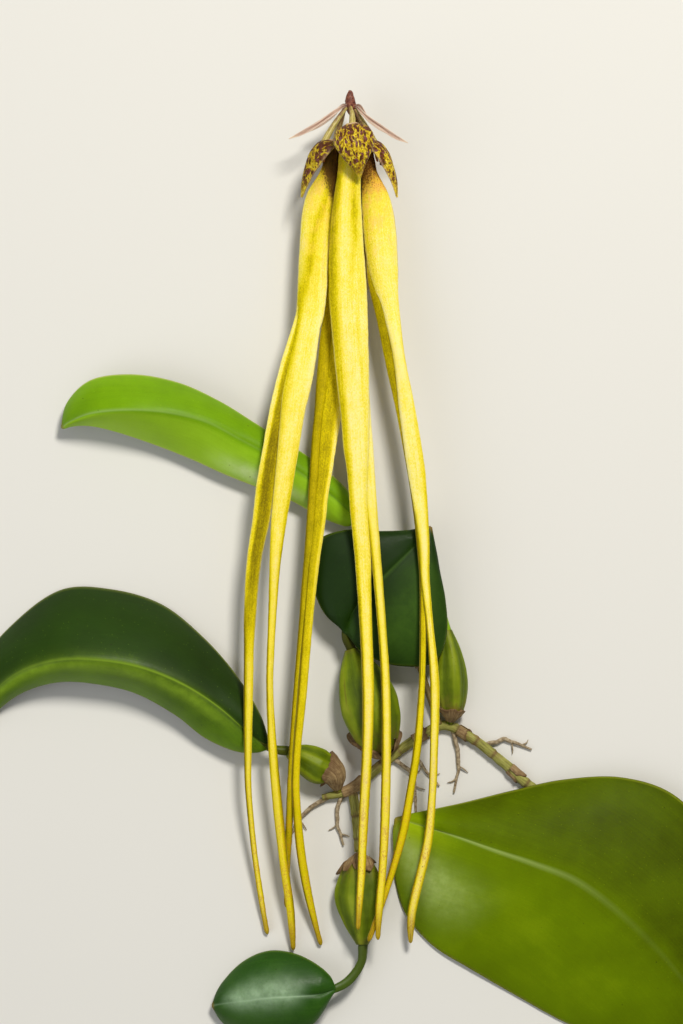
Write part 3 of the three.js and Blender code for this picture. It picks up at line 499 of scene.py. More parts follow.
def sheath_material(name, pale, dark):
    """A dry scale: papery, with fibres along it and a torn brown end."""
    g = Graph(name, IOR=1.4)
    fibre = g.stripes("angle", 5.0, 0.08, g["top"], 2.2, 4.0, 0.65)
    g.colour = g.ramp(fibre, (0.3, *dark), (0.68, *pale))
    g.tint(g.remap(g.noise(0.6, 3.0), 0.45, 0.65), 0.5, *dark)
    g.tint(g["end"], 0.6, *dark)
    return g.finish(0.8, fibre, 0.8, 0.2)


def rhizome_material():
    """Pale olive and ringed, browner under its scales and along its roots."""
    g = Graph("rhizome", IOR=1.4)
    fibre = g.stripes("angle", 3.0, 0.12, g["top"], 2.0, 4.0, 0.6)
    g.colour = g.ramp(fibre, (0.28, 92, 84, 34), (0.5, 140, 138, 62), (0.74, 174, 172, 98))
    g.tint(g["ring"], 0.75, 92, 66, 38)
    g.tint(g.remap(g.noise(0.25, 3.0), 0.5, 0.66), 0.5, 136, 104, 66)
    root = g.ramp(g.noise(1.2, 3.0), (0.3, 112, 92, 66), (0.7, 182, 166, 136))
    g.colour = g.mix(g["root"], g.colour, root)
    return g.finish(0.72, g.scaled(fibre, 1.0, g.noise(2.5, 3.0)), 0.6, 0.2)


def bulb_material():
    """Yellow-green, browned at its base, with dark lengthwise lines, painted shade in its grooves and painted
    highlights on its ridges.
    """
    g = Graph("bulb", IOR=1.45, Coat_Weight=0.03, Coat_Roughness=0.35, Specular_IOR_Level=0.2)
    line = g.stripes("angle", 4.0, 0.05, g.scaled(g["top"], 4.0), 1.3, 4.0, 0.6)
    patch = g.noise(0.16, 3.0, 0.6)
    # Painted light and shade: paler on the ridges, darker in the grooves, with a painted highlight at the
    # pale end.
    tone = g.scaled(g["ridge"], 0.34, g.scaled(patch, 0.5, g.scaled(line, 0.34, -0.12)))
    groove, side, ridge, pale = (0.1, 52, 66, 2), (0.36, 86, 104, 4), (0.6, 118, 134, 12), (0.9, 158, 166, 48)
    g.colour = g.ramp(tone, groove, side, ridge, pale)
    g.tint(g.remap(line, 0.6, 0.74), 0.5, 92, 70, 22)
    g.tint(g.times(g["base"], g.remap(g.noise(0.5, 4.0, 0.6), 0.35, 0.62)), 1, 112, 84, 44)
    g.tint(g.dots(0.7, 0.14, 0.05), 0.6, 54, 44, 12)
    height = g.scaled(line, 1.0, g.scaled(g.noise(2.2, 3.0), 0.35))
    return g.finish(g.remap(patch, 0.3, 0.7, 0.42, 0.58), height, 0.5, 0.25)


def leaf_material(name, gloss, deep, mid, light, sheen, margin):
    """Leathery and semi-gloss, with faint lengthwise veins, a pale midrib, a yellowish margin, a painted
    sheen and painted light and shade.
    """
    coat = {"Coat_Weight": 0.1 * gloss, "Coat_Roughness": 0.3, "Specular_IOR_Level": gloss}
    g = Graph(name, (0.05, 0.0012, (0.35, 1.0, 0.12)), IOR=1.42, **coat)
    vein = g.stripes("across", 1.6, 0.02, 0.0, 1.4, 3.0, 0.55)
    patch = g.noise(0.05, 3.0, 0.55)
    fine = g.noise(1.6, 3.0, 0.6)
    tone = g.scaled(vein, 0.12, g.scaled(patch, 0.5, g.scaled(fine, 0.12, g["tone"])))
    g.colour = g.ramp(g.scaled(tone, 1.0, -0.37), (0.05, *deep), (0.5, *mid), (0.95, *light))
    g.tint(g["rib"], 0.65, *sheen)
    # Painted sheen: a pale, patchy highlight laid where the stored sheen share is high.
    misty = g.scaled(g.noise(0.3, 4.0, 0.65, g.at(z=700)), 1.2, 0.1)
    g.tint(g.times(g["bloom"], misty), 0.74, *sheen)
    g.tint(g["margin"], 0.75, *margin)
    g.tint(g.dots(0.6, 0.12, 0.03), 0.3, *light)
    g.tint(g.dots(0.21, 0.055, 0.02, g.at(z=800)), 0.7, 38, 34, 12)
    g.tint(g["beak"], 0.7, 134, 104, 42)
    g.tint(g.remap(g["face"], 0.1, -0.1), 0.45, 122, 142, 62)
    rough = 0.52 - 0.5 * gloss
    roughness = g.remap(fine, 0.3, 0.7, rough, rough + 0.12)
    return g.finish(roughness, g.scaled(vein, 1.0, g.scaled(fine, 0.25)), 0.2, 0.12)


# ---------------------------------------------------------------- blooms
# heart is the top of the ovary; down is the way the bloom hangs and out points to its hood. hood is
# the hood's form, wide its width and dim how much painted shade darkens it. seat is how far behind the
# heart the lateral sepals start; flush is how red they are there and how dark under the hood, where a
# painted hood shadow darkens their own brown, and lead is the slant of that painted shadow. purple is
# how dark the stalk's flank is; the back bloom's is raised as painted shade.

BLOOMS = {
    "left": {
        "heart": (-7.8, -14.6, 15.2), "down": (-0.3, -0.95, 0), "out": (-0.9, 0.28, 0.34),
        # The left hood is darkened by painted shade.
        "hood": "reaching", "wide": 0.84, "dim": 0.3, "seat": 2.4, "flush": (0.55, 1.0), "lead": 5,
        "purple": 0.45, "pedicel": [(-1.7, -4.4, 13.9), (-4.2, -8, 14.4), (-6.6, -12, 15)],
    },
    "back": {
        "heart": (-4.2, -15.3, 7.4), "down": (-0.05, -1, 0), "out": (-0.12, 0, -0.99),
        "hood": "reaching", "wide": 0.8, "dim": 0.0, "seat": 2, "flush": (0.6, 0.8), "lead": 0,
        # The back bloom's stalk flank is darkened as painted shade.
        "purple": 1.0, "pedicel": [(-1.8, -4.4, 11.8), (-2.6, -7, 10.4), (-3.8, -11, 8.4)],
    },
    "right": {
        "heart": (7.3, -14.6, 15.2), "down": (0.3, -0.95, 0), "out": (0.95, 0.3, 0.06),
        "hood": "reaching", "wide": 0.84, "dim": 0.0, "seat": 2.4, "flush": (0.95, 0.75), "lead": -3,
        "purple": 0.45, "pedicel": [(2, -5.1, 14.3), (3.8, -8, 14.4), (6.1, -12, 15)],
    },
    "center": {
        "heart": (0.6, -10.5, 21), "down": (0.16, -1, 0), "out": (0, 0.1, 1),
        "hood": "arched", "wide": 1, "dim": 0.0, "seat": 2, "flush": (0.3, 0.2), "lead": 0,
        "purple": 0.45, "pedicel": [(0.2, -4.2, 15.4), (0.6, -6, 18.2), (0.7, -8.4, 20.4)],
    },
}

# A hood's spine as (down, out) from the heart, its half width along the spine as a share of
# HOOD_HALF, and how far its long edges are rolled in.
HOOD_HALF = 6.2
HOODS = {
    "arched": {
        "spine": [(-1.5, 1.2), (0.6, 4.4), (4, 6.2), (8, 6.3), (11.8, 4.6), (14.8, 1.6)],
        "outline": [(0, 0.24), (0.2, 0.84), (0.4, 1), (0.6, 0.72), (0.8, 0.31), (1, 0.04)],
        "roll": 0.52,
    },
    "reaching": {
        "spine": [(-1.7, -0.8), (0.5, 1.7), (4, 3.1), (8.5, 3.2), (13, 2.8), (17.4, 1.7)],
        "outline": [(0, 0.42), (0.2, 0.86), (0.4, 0.82), (0.6, 0.56), (0.8, 0.33), (1, 0.06)],
        "roll": 0.68,
    },
}

# The column bends out over the lip and ends in two teeth, and its foot runs to the lip's hinge:
# (side, down, out, radius). The lip is (down, out, half width, half height).
COLUMN = [(0, -0.6, 0, 0.9), (0, 1, 0.35, 0.8), (0, 2.6, 1.2, 0.6)]
COLUMN_FOOT = [(0, -0.6, 0, 0.9), (0, 1.2, 0, 0.7), (0, 2.4, -0.1, 0.5)]
COLUMN_TOOTH = [(0.42, 2.35, 1.2, 0.26), (0.55, 2.9, 1.35, 0.16), (0.6, 3.4, 1.3, 0.05)]
COLUMN_FLANK = 0.25
LIP = [(2.7, -0.1, 0.45, 0.36), (4.2, 0.6, 1, 0.5), (5.8, 0.5, 0.8, 0.45), (6.8, -0.1, 0.35, 0.3)]
PEDICEL_RADIUS = 0.6
OVARY_RADIUS = 1.1
PETAL_THICKNESS = 0.42

# The two halves of each pair of lateral sepals, in the order that they overlap, as
# (y, left edge, right edge, z).
LATERALS = {
    "left outer": [
        (-16.5, -6.6, -5.1, 13.7), (-20.4, -7.4, -5.3, 12.7), (-23.1, -8.5, -6, 12.3),
        (-26.1, -10.2, -6.6, 12.2), (-29.1, -12.1, -7.8, 12.2), (-32.1, -13.3, -8.7, 12.3),
        (-35.7, -14, -9.15, 12.4), (-41.1, -14.4, -9.6, 12.5), (-46.5, -14.7, -10.2, 12.7),
        (-57.6, -15.3, -11.1, 13.1), (-65.1, -16.1, -11.7, 13.6), (-71.1, -17.82, -13.2, 14.3),
        (-80.1, -20.7, -15.6, 15), (-93.6, -24, -18.3, 15.6), (-106.5, -26.31, -21, 15.6),
        (-117.6, -28.2, -22.5, 15.4), (-126.6, -29.22, -23.85, 15), (-139.5, -31, -26.6, 14.4),
        (-153, -31.75, -27.95, 13.6), (-165, -31.8, -28.8, 13), (-183, -31.86, -29.16, 12.4),
        (-195, -31.81, -29.51, 11.4), (-207, -31.55, -29.65, 9.6), (-225, -29.8, -28.1, 5.5),
        (-234, -28.57, -26.87, 3.6), (-243, -27.11, -25.51, 2), (-251.1, -25.3, -24.5, 0.9),
    ],
    "left inner": [
        (-16.5, -7.1, -4.4, 14.1), (-20.4, -7.9, -4.1, 13.3), (-23.1, -9, -3.9, 13),
        (-26.1, -10.7, -3.9, 13), (-29.1, -12.6, -4.2, 13.1), (-32.1, -13.8, -4.5, 13.2),
        (-35.7, -14.52, -4.95, 13.3), (-42.6, -15, -5.85, 13.5), (-50.1, -15.4, -6.6, 13.8),
        (-57.6, -15.8, -6.9, 14.1), (-65.1, -16.3, -7.65, 14.5), (-69.9, -17.1, -8.85, 14.8),
        (-76.5, -18.6, -9.75, 15.2), (-84, -19.8, -10.89, 15.7), (-95.1, -20.85, -13.5, 16.3),
        (-106.5, -21.75, -15.39, 16.5), (-117.6, -22.8, -17.19, 16.2), (-126.6, -23.58, -18.81, 15.8),
        (-139.5, -24.15, -20.85, 15.2), (-153, -24.5, -22, 14.4), (-165, -24.92, -22.72, 13.8),
        (-177, -25.2, -23.1, 13.4), (-195, -24.55, -21.95, 12.4), (-213, -23.05, -20.15, 10.4),
        (-222, -22.04, -19.24, 9), (-231, -20.95, -18.35, 7.6), (-243, -19.2, -16.8, 4.8),
        (-250.5, -18.35, -16.45, 2.6), (-255.9, -17.55, -16.65, 1),
    ],
    "back outer": [
        (-16.5, -5.79, -3.81, 9.4), (-24, -7.95, -4.05, 9.4), (-34.5, -9.3, -4.35, 9),
        (-49.5, -9, -4.35, 8.7), (-61.5, -8.4, -4.5, 9), (-66.6, -8.22, -4.65, 9.1),
        (-72, -8.85, -5.1, 9.5), (-76.5, -9.3, -5.55, 9.9), (-87.6, -10.2, -6.75, 10.6),
        (-95.1, -10.68, -7.95, 11), (-102.6, -11.4, -8.7, 11.4), (-110.1, -11.88, -9.15, 11.6),
        (-117.6, -12.36, -9.6, 11.8), (-126.6, -12.9, -10.35, 12), (-139.5, -13.9, -10.7, 12.3),
        (-148.5, -14.69, -11.59, 12.6), (-157.5, -15.3, -12.3, 12.9), (-178.5, -17, -14.2, 13.1),
        (-196.5, -18.3, -15.9, 12.7), (-208.5, -18.95, -16.75, 11.1), (-219, -19.35, -17.25, 8.4),
        (-231, -20, -18.1, 4.6), (-243, -19.7, -18.7, 1.3),
    ],
    "back inner": [
        (-16.5, -4.29, -2.31, 9.7), (-24, -5.55, -1.65, 9.7), (-34.5, -6.3, -1.5, 9.6),
        (-49.5, -6.6, -1.8, 9.3), (-64.5, -5.7, -2.1, 9.7), (-73.5, -5.94, -1.95, 10.1),
        (-84, -6.96, -2.1, 10.7), (-95.1, -8.76, -2.49, 11.3), (-102.6, -9.48, -3.72, 11.6),
        (-112.5, -10.08, -5.25, 12), (-121.5, -10.68, -6.75, 12.2), (-126.6, -11.01, -7.2, 12.4),
        (-139.5, -12.5, -9.1, 12.8), (-148.5, -13.36, -10.16, 13.1), (-157.5, -14.1, -11.1, 13.4),
        (-178.5, -15.8, -13, 13.8), (-196.5, -17.25, -14.85, 13.4), (-205.5, -17.52, -15.12, 12.7),
        (-211.5, -17.25, -14.85, 12), (-225, -16.15, -13.55, 9.2), (-237, -14.15, -11.65, 6),
        (-247.5, -11.4, -9.6, 2.6), (-254.4, -9.15, -8.25, 1),
    ],
    "center outer": [
        (-12.9, -2.19, 2.79, 18.7), (-16.5, -3.06, 2.79, 18.7), (-19.5, -3.42, 3, 18.7),
        (-23.1, -3.72, 3.18, 18.7), (-28.5, -4.5, 3.3, 18.7), (-34.5, -5.34, 3.45, 18.7),
        (-39, -5.88, 3.75, 18.7), (-46.5, -6.3, 4.2, 18.7), (-61.5, -6.3, 5.25, 18.8),
        (-72.6, -5.34, 5.55, 18.7), (-84, -4.2, 5.75, 18.4), (-96.6, -2.82, 5.8, 18.1),
        (-106.5, -1.89, 5.7, 17.95), (-114, -0.84, 5.6, 17.75), (-126.6, 0.18, 5.65, 17.4),
        (-135, 1.06, 6.26, 17.0), (-148.5, 2.21, 6.31, 16.8), (-162, 3.06, 6.66, 17),
        (-177, 3.65, 7.15, 17.2), (-195, 3.61, 6.71, 16), (-213, 2.84, 5.74, 13.8),
        (-223.5, 2.51, 5.11, 12.9), (-231, 2.28, 4.68, 12.4), (-243, 1.8, 3.6, 11.6),
        (-249, 1.98, 2.82, 11.2),
    ],
    "center inner": [
        (-12.9, 0.6, 2.4, 18.1), (-16.5, -0.15, 2.4, 18), (-19.5, -0.9, 2.6, 18), (-23.1, -1.2, 2.8, 18),
        (-33, -1.5, 3, 18), (-46.5, -1.8, 3.8, 18), (-61.5, -1.5, 4.85, 18), (-76.5, -0.6, 5.3, 17.9),
        (-91.5, 0.6, 5.9, 17.6), (-102.6, 1.8, 6.69, 17.3), (-117.6, 3.9, 7.65, 16.9),
        (-126.6, 5.22, 8.28, 16.9), (-135, 6.1, 8.9, 17.05), (-148.5, 7.29, 9.99, 17), (-162, 8.5, 11, 17),
        (-177, 9.38, 11.98, 17), (-195, 9.51, 12.21, 16.4), (-213, 9.16, 11.96, 14.8),
        (-223.5, 8.87, 11.47, 13.8), (-231, 8.55, 10.95, 13.2), (-243, 7.69, 9.89, 12.3),
        (-252, 7.92, 8.88, 11.6),
    ],
    "right inner": [
        (-16.5, 4.5, 6, 14.2), (-20, 4.2, 6.4, 13.1), (-24, 3.9, 6.9, 12.5), (-33, 3.9, 8.1, 12.6),
        (-39.9, 4.3, 8.85, 12.9), (-46.5, 4.8, 9.45, 13.3), (-56.1, 5.4, 10.8, 14),
        (-65.1, 7.5, 12.45, 14.5), (-73.5, 9.24, 14.1, 14.5), (-80.1, 10.56, 15.6, 14.6),
        (-93.6, 13.56, 18.3, 15.2), (-102.6, 15.3, 19.8, 15.4), (-117.6, 18, 21.45, 15.6),
        (-126.6, 19.2, 22.2, 15.5), (-135, 20.07, 22.77, 15.6), (-144, 20.8, 23, 15.6),
        (-159, 20.95, 22.85, 15.6), (-175.5, 20.59, 22.49, 15.6), (-195, 18.9, 21.3, 14.8),
        (-207, 17.15, 19.45, 12.6), (-219, 14.9, 17.5, 11.6), (-231, 11.85, 13.95, 10.6),
        (-243, 8.1, 9.9, 10.2), (-249, 6.15, 7.65, 9.9), (-252.6, 5.16, 6, 9.6),
    ],
    "right outer": [
        (-16.5, 4.3, 6.8, 14.6), (-20.4, 3.8, 7.5, 13.5), (-23.1, 3.5, 8.1, 13.1), (-26.1, 3.4, 9.6, 13.1),
        (-30, 3.4, 11.55, 13.2), (-33.6, 3.45, 12.72, 13.3), (-36.9, 3.7, 13.38, 13.4),
        (-41.1, 4, 13.92, 13.6), (-46.5, 4.6, 14.28, 13.9), (-55.5, 6.3, 14.58, 14.5),
        (-63.6, 9.3, 14.85, 15), (-73.5, 12.12, 15.72, 15.4), (-82.5, 13.68, 17.1, 15.6),
        (-91.5, 14.4, 19.02, 15.8), (-97.5, 15.12, 20.16, 15.9), (-106.5, 16.29, 21.72, 16),
        (-114, 17.46, 22.71, 16.2), (-126.6, 19.68, 23.4, 16.4), (-135, 20.76, 23.76, 16.5),
        (-144, 21.2, 23.8, 16.6), (-151.5, 22.07, 24.37, 16.6), (-159, 22.95, 25.05, 16.6),
        (-175.5, 24.09, 26.79, 16.6), (-195, 24.06, 26.46, 15.6), (-208.5, 23.6, 25.9, 13.6),
        (-222, 22.2, 24.9, 11.2), (-232.5, 19.9, 22.7, 9), (-238.5, 18.45, 21.15, 7.8),
        (-243.6, 17.45, 20.05, 6.6), (-249, 17.3, 19.3, 5.4), (-253.5, 17.8, 18.8, 4.2),
    ],
}

# How each half is bent and shaded down its length: y, then in hundredths its tilt, bulge, left lip,
# right lip, groove, where the groove runs, and the tones of its left edge, middle and right edge. The
# tones are mostly painted light and shade, with a little of the strap's own olive: darker where a side
# faces away from the light or lies in another's shadow, paler where it is lit.
BENDS = {
    "left outer": [
        (-15, 15, 30, 5, 0, 0, 0, 45, 50, 50), (-42, 5, 30, 0, -20, 0, 0, 70, 50, 30),
        (-60, 5, 30, 10, -20, 0, 0, 80, 50, 25), (-72, 0, 10, 40, 0, 10, 10, 85, 40, 25),
        (-90, -5, -25, 50, 10, 10, 10, 90, 20, 15), (-104, -5, -30, 50, 10, 10, 10, 85, 8, 10),
        (-118, -5, -30, 50, 20, 10, 0, 60, 6, 30), (-142, 0, -5, 35, 20, 15, -10, 70, 18, 30),
        (-158, 5, 15, 15, 10, 10, -20, 40, 40, 60), (-175, 10, 25, 10, 10, 10, -20, 30, 75, 80),
        (-256, 10, 30, 0, 0, 5, -20, 40, 80, 50),
    ],
    "left inner": [
        (-15, 10, 35, 0, 20, 0, 0, 50, 60, 50), (-30, 12, 60, -20, 110, 0, 0, 75, 75, 65),
        (-42, 12, 60, -20, 140, 10, -20, 85, 72, 85), (-52, 12, 60, -20, 120, 10, -20, 75, 70, 90),
        (-62, 12, 55, -30, 70, 0, 0, 45, 80, 95), (-72, 10, 55, -40, 30, 0, 0, 30, 85, 95),
        (-84, 5, 55, -40, 20, 0, 0, 50, 85, 95), (-110, -10, 50, -30, 10, 0, 0, 80, 85, 65),
        (-140, -10, 35, 0, 0, 5, 10, 70, 85, 50), (-180, 0, 25, 10, 0, 8, 20, 45, 75, 75),
        (-205, 0, 25, 10, 0, 8, 20, 75, 75, 30), (-256, 5, 30, 0, 0, 5, 20, 80, 60, 30),
    ],
    "back outer": [
        (-15, 0, 30, 0, 0, 0, 0, 15, 20, 25), (-60, 0, 40, 10, 0, 0, 0, 40, 30, 35),
        (-90, 0, 30, 10, 0, 0, 0, 30, 20, 30), (-120, 0, 30, 15, 10, 10, 0, 30, 18, 30),
        (-170, 10, 20, 10, 0, 8, 0, 25, 35, 35), (-245, 10, 30, 0, 0, 5, 0, 30, 40, 35),
    ],
    "back inner": [
        (-15, 0, 30, 0, 0, 0, 0, 20, 25, 30), (-60, 0, 40, 0, 10, 0, 0, 35, 45, 50),
        (-75, 0, 35, 10, 10, 5, 0, 40, 50, 80), (-95, 0, 30, 20, 10, 10, 0, 40, 35, 85),
        (-120, 5, 30, 15, 20, 10, 0, 35, 30, 85), (-170, 10, 20, 10, 10, 8, 10, 25, 45, 75),
        (-256, 10, 30, 10, 0, 5, 20, 40, 60, 50),
    ],
    "center inner": [
        (-11, 0, 30, 0, 0, 0, 0, 60, 60, 60), (-45, 0, 50, 0, 10, 0, 0, 60, 60, 85),
        (-80, -5, 50, 0, 20, 0, 0, 75, 82, 90), (-120, -5, 35, 0, 20, 6, 20, 70, 80, 95),
        (-150, 0, 30, 10, 10, 8, 0, 55, 85, 75), (-190, 0, 30, 5, 10, 8, 0, 30, 85, 70),
        (-252, 10, 30, 0, 0, 5, 10, 30, 75, 60),
    ],
    "center outer": [
        (-11, 0, 30, 0, 0, 0, 0, 50, 70, 60), (-22, -3, 60, -60, 10, 0, 0, 30, 80, 70),
        (-40, 0, 60, -90, 10, 15, 45, 30, 88, 80), (-65, 5, 60, -90, 10, 12, 45, 40, 90, 85),
        (-80, 8, 55, -50, 0, 10, 40, 50, 90, 85), (-98, 10, 50, -30, -10, 0, 0, 45, 95, 85),
        (-120, 5, 45, 0, -10, 0, 0, 50, 95, 85), (-150, 0, 35, 10, 0, 8, 10, 45, 90, 70),
        (-200, 0, 30, 5, 0, 8, 10, 30, 90, 55), (-249, 10, 30, 0, 0, 5, 10, 40, 80, 55),
    ],
    "right inner": [
        (-15, 10, 30, 0, 0, 0, 0, 40, 55, 55), (-50, 10, 40, 0, 0, 0, 0, 30, 30, 40),
        (-65, 20, 30, 0, 0, 0, 0, 20, 20, 40), (-100, 20, 20, 5, 0, 0, 0, 25, 15, 30),
        (-120, 15, 20, 10, 10, 0, 0, 30, 25, 40), (-150, 10, 20, 10, 10, 8, 0, 30, 45, 65),
        (-180, 0, 30, 10, 0, 6, 0, 30, 60, 50), (-252, 0, 30, 10, 0, 6, 0, 35, 50, 45),
    ],
    "right outer": [
        (-15, -5, 30, 0, 0, 0, 0, 50, 60, 60), (-34, -3, 50, -10, 0, 0, 0, 60, 78, 80),
        (-48, -3, 50, -20, 0, 0, 0, 65, 88, 85), (-62, -5, 50, -30, 0, 0, 0, 90, 85, 85),
        (-74, -5, 50, -35, 0, 0, 0, 98, 88, 85), (-90, -5, 45, -35, 10, 0, 0, 100, 88, 85),
        (-112, -10, 40, -20, 0, 0, 0, 100, 90, 60), (-130, 0, 35, 0, 10, 5, 0, 80, 90, 60),
        (-165, 10, 25, 10, 10, 8, 10, 45, 90, 70), (-210, 10, 30, 5, 0, 6, 0, 35, 88, 60),
        (-254, 10, 30, 0, 0, 6, 0, 60, 90, 70),
    ],
}

# Painted shade in the folds: olive bands down a half, as (y, where across it, how wide, how deep).
STREAKS = {
    "left inner": [
        [
            (-24, 0.5, 0.2, 0), (-34, 0.3, 0.22, 0.35), (-42, -0.1, 0.22, 0.25),
            (-52, -0.22, 0.24, 0.3), (-60, -0.5, 0.26, 0.2), (-66, -0.7, 0.2, 0),
        ],
        [
            (-22, 0.85, 0.15, 0.2), (-35, 0.84, 0.13, 0.45), (-44, 0.95, 0.13, 0.4),
            (-52, 1.05, 0.12, 0.3), (-60, 1.1, 0.1, 0),
        ],
    ],
    "center outer": [
        [
            (-18, 0.3, 0.2, 0.2), (-34, 0.46, 0.26, 0.42), (-43, 0.46, 0.24, 0.28),
            (-52, 0.3, 0.2, 0.18), (-62, 0.1, 0.16, 0.08), (-75, 0.1, 0.1, 0),
        ],
        [(-60, 0.45, 0.05, 0), (-72, 0.45, 0.05, 0.18), (-92, 0.6, 0.05, 0.2), (-104, 0.8, 0.05, 0)],
    ],
}

# A sepal's rings close up towards its end by SEPAL_CLOSING. Its tail is drawn out by SEPAL_DRAW while
# -y goes through SEPAL_DRAWN, and rounded over SEPAL_TIP.
SEPAL_CLOSING = 1.25
SEPAL_DRAW = 1.7
SEPAL_DRAWN = (110, 245)
SEPAL_TIP = 1.8


class Bloom:
    """A bloom's own axes: out to its dorsal sepal, down the bloom, and side."""

    def __init__(self, facts):
        self.facts = facts
        self.heart, self.down, out = (np.array(facts[key], float) for key in ("heart", "down", "out"))
        self.down = unit(self.down)
        self.out = unit(out - self.down * out.dot(self.down))
        self.side = np.cross(self.out, self.down)

    def place(self, s, d, o):
        s, d, o = (np.asarray(v, float)[..., None] for v in (s, d, o))
        return self.heart + s * self.side + d * self.down + o * self.out


def sepal(bloom, half_name, seed):
    """One lateral sepal: a strap that narrows into a long rounded tail."""
    facts = bloom.facts
    stations = [(*bloom.place(0, 0, 0.9 - facts["seat"]), 0.8)]
    for y, left, right, z in LATERALS[half_name]:
        drawn = y - SEPAL_DRAW * float(step(-y, *SEPAL_DRAWN))
        stations.append(((left + right) / 2, drawn, z, (right - left) / 2))
    count, across = FINE["sepal"]
    at, length = even(stations, count, SEPAL_CLOSING)
    line, y = at[:, :3], at[:, 1]
    along = axes(line)[0]
    lean = np.abs(along[:, 1]) / np.hypot(along[:, 0], along[:, 1])
    s = spread(across, 0.55)
    mm = length[:, None]
    left_to_go = length[-1] - mm
    tip = rounded(left_to_go / SEPAL_TIP)
    half = np.maximum(at[:, 3] * np.clip(lean, 0.6, 1), 0.7)[:, None] * tip
    tail = 1 - step(half, 1.35, 2.5)
    keys = np.array(BENDS[half_name])[::-1].T
    keys = [np.interp(y, keys[0], column / 100)[:, None] for column in keys[1:]]
    tilt, bulge, lip_left, lip_right, groove, groove_at, tone_left, tone_middle, tone_right = keys

    twist = 0.28 * tail * noise(mm / 34, seed * 3.1, seed)
    hand = np.sign(s) * 2
    margin = 1 + 0.02 * fbm(mm / 5, hand, seed + 5) * np.abs(s)
    margin = margin + 0.05 / np.maximum(half, 0.4) * noise(mm / 0.9, hand, seed + 9) * np.abs(s) ** 3
    lift = (tilt + twist) * s * half
    lift = lift + bulge * np.minimum(half, 1.6) / 1.6 * (1 - s**2) - 0.1 * half * s**2 * (1 - tail)
    lift = lift + lip_left * bell(s, -0.92, 0.2) + lip_right * bell(s, 0.92, 0.2)
    lift = lift - groove * bell(s, groove_at, 0.22)
    wave = 0.1 * fbm(s * half * 0.8 + seed, mm / 9, seed) * (1 - 0.5 * tail)
    rib = 0.03 * np.cos(s * 9 * math.pi) * (1 - tail)
    grid = swept(line, s * half * margin, lift + wave + rib)

    # Painted light and shade: the tone follows the BENDS keys, darkens the base in the hood's shadow, is
    # darker down the tails, and lights each tail along its middle and shades its edges.
    tone_edge = np.where(s < 0, tone_left, tone_right)
    tone = tone_middle + (tone_edge - tone_middle) * step(np.abs(s), 0.25, 0.75)
    tone = tone - 0.12 * (1 - step(mm, 2, 16)) - 0.11 * step(mm, 88, 155)
    tone = tone + tail * (0.12 * bell(s, 0.1, 0.5) - 0.26 * step(-s, 0.4, 0.9) - 0.16 * step(s, 0.6, 0.95))
    # Painted shade: olive bands along the folds.
    for streak in STREAKS.get(half_name, ()):
        rows = np.array(streak)[::-1].T
        where, wide, depth = (np.interp(y, rows[0], column, 0, 0)[:, None] for column in rows[1:])
        tone = tone - depth * bell(s, where, np.maximum(wide, 0.03))
    pale = step(np.abs(s), 0.86, 0.97) * (1 - 0.6 * tail) * step(mm, 10, 22)
    if half_name == "center outer":
        pale = pale * np.where(s < 0, step(mm, 45, 75), 1)
    flush, deep = facts["flush"]
    data = {
        "across": s * half,
        "mm": mm,
        "tone": tone,
        "flush": (1 - step(mm, 6, 24)) * flush,
        "peach": (1 - step(mm, 16, 48)) * flush,
        # Painted hood shadow over the base, slanted by lead, together with the bloom's own brown.
        "deep": (1 - step(mm - facts["lead"] * s, 6, 18)) * deep,
        "edge": pale,
        "tail": tail,
        "aged": tail * (1 - step(left_to_go, 20, 70)) * 0.8 + 0.1 * tail,
        "tip": 1 - step(left_to_go, 2, 13),
    }
    thickness = (1.1 + tail * 0.7 * half) * np.maximum(tip, 0.25)
    return blade(grid, s, thickness, 6 - 3.6 * tail, data)


def hood(bloom, seed):
    """The dorsal sepal: a pointed, spotted hood with its long edges rolled in."""
    style = HOODS[bloom.facts["hood"]]
    count, across = FINE["hood"]
    u = np.linspace(0, 1, count)
    middle = spline([(0, *at) for at in style["spine"]], u)
    outline = spline([(*at, 0) for at in style["outline"]], u)[:, 1:2]
    mm = run(middle)[:, None]
    end = mm[-1]
    s = spread(across, 0.4)
    edge = np.abs(s) ** 4
    waved = 1 + 0.05 * edge * fbm(mm / 2.6, np.sign(s) * 3, seed)
    half = bloom.facts["wide"] * HOOD_HALF * outline * waved
    roll = style["roll"] * s**2 + 0.16 * np.abs(s) ** 7 - 0.03 * bell(s, 0, 0.1)
    dent = 0.12 * fbm(s * 2.2, mm / 4, seed + 2) * (1 - edge)
    veins = 0.035 * np.cos(s * 7 * math.pi) * step(outline, 0.15, 0.6)
    grid = bloom.place(s * half, middle[:, 1:2], middle[:, 2:3] - roll * half + dent + veins)
    top = 1 - step(mm, 2, 7)
    going = step(mm, 0.72 * end, end)
    data = {
        "across": s * half,
        "mm": mm,
        "seed": seed * 7.3,
        "dense": np.clip(0.5 + 0.5 * top + 0.2 * s**2 - 0.4 * going, 0, 1.1),
        "plain": step(mm, 0.68 * end, 0.95 * end),
        "top": 0.85 * top,
        "dim": bloom.facts["dim"],
        "pale": going,
        "rim": np.clip(0.8 * step(np.abs(s), 0.92, 1.0) + 0.9 * (1 - step(mm, 0.3, 1.2)), 0, 1),
    }
    return blade(grid, s, 0.5 + 0.25 * edge, 8.0, data)


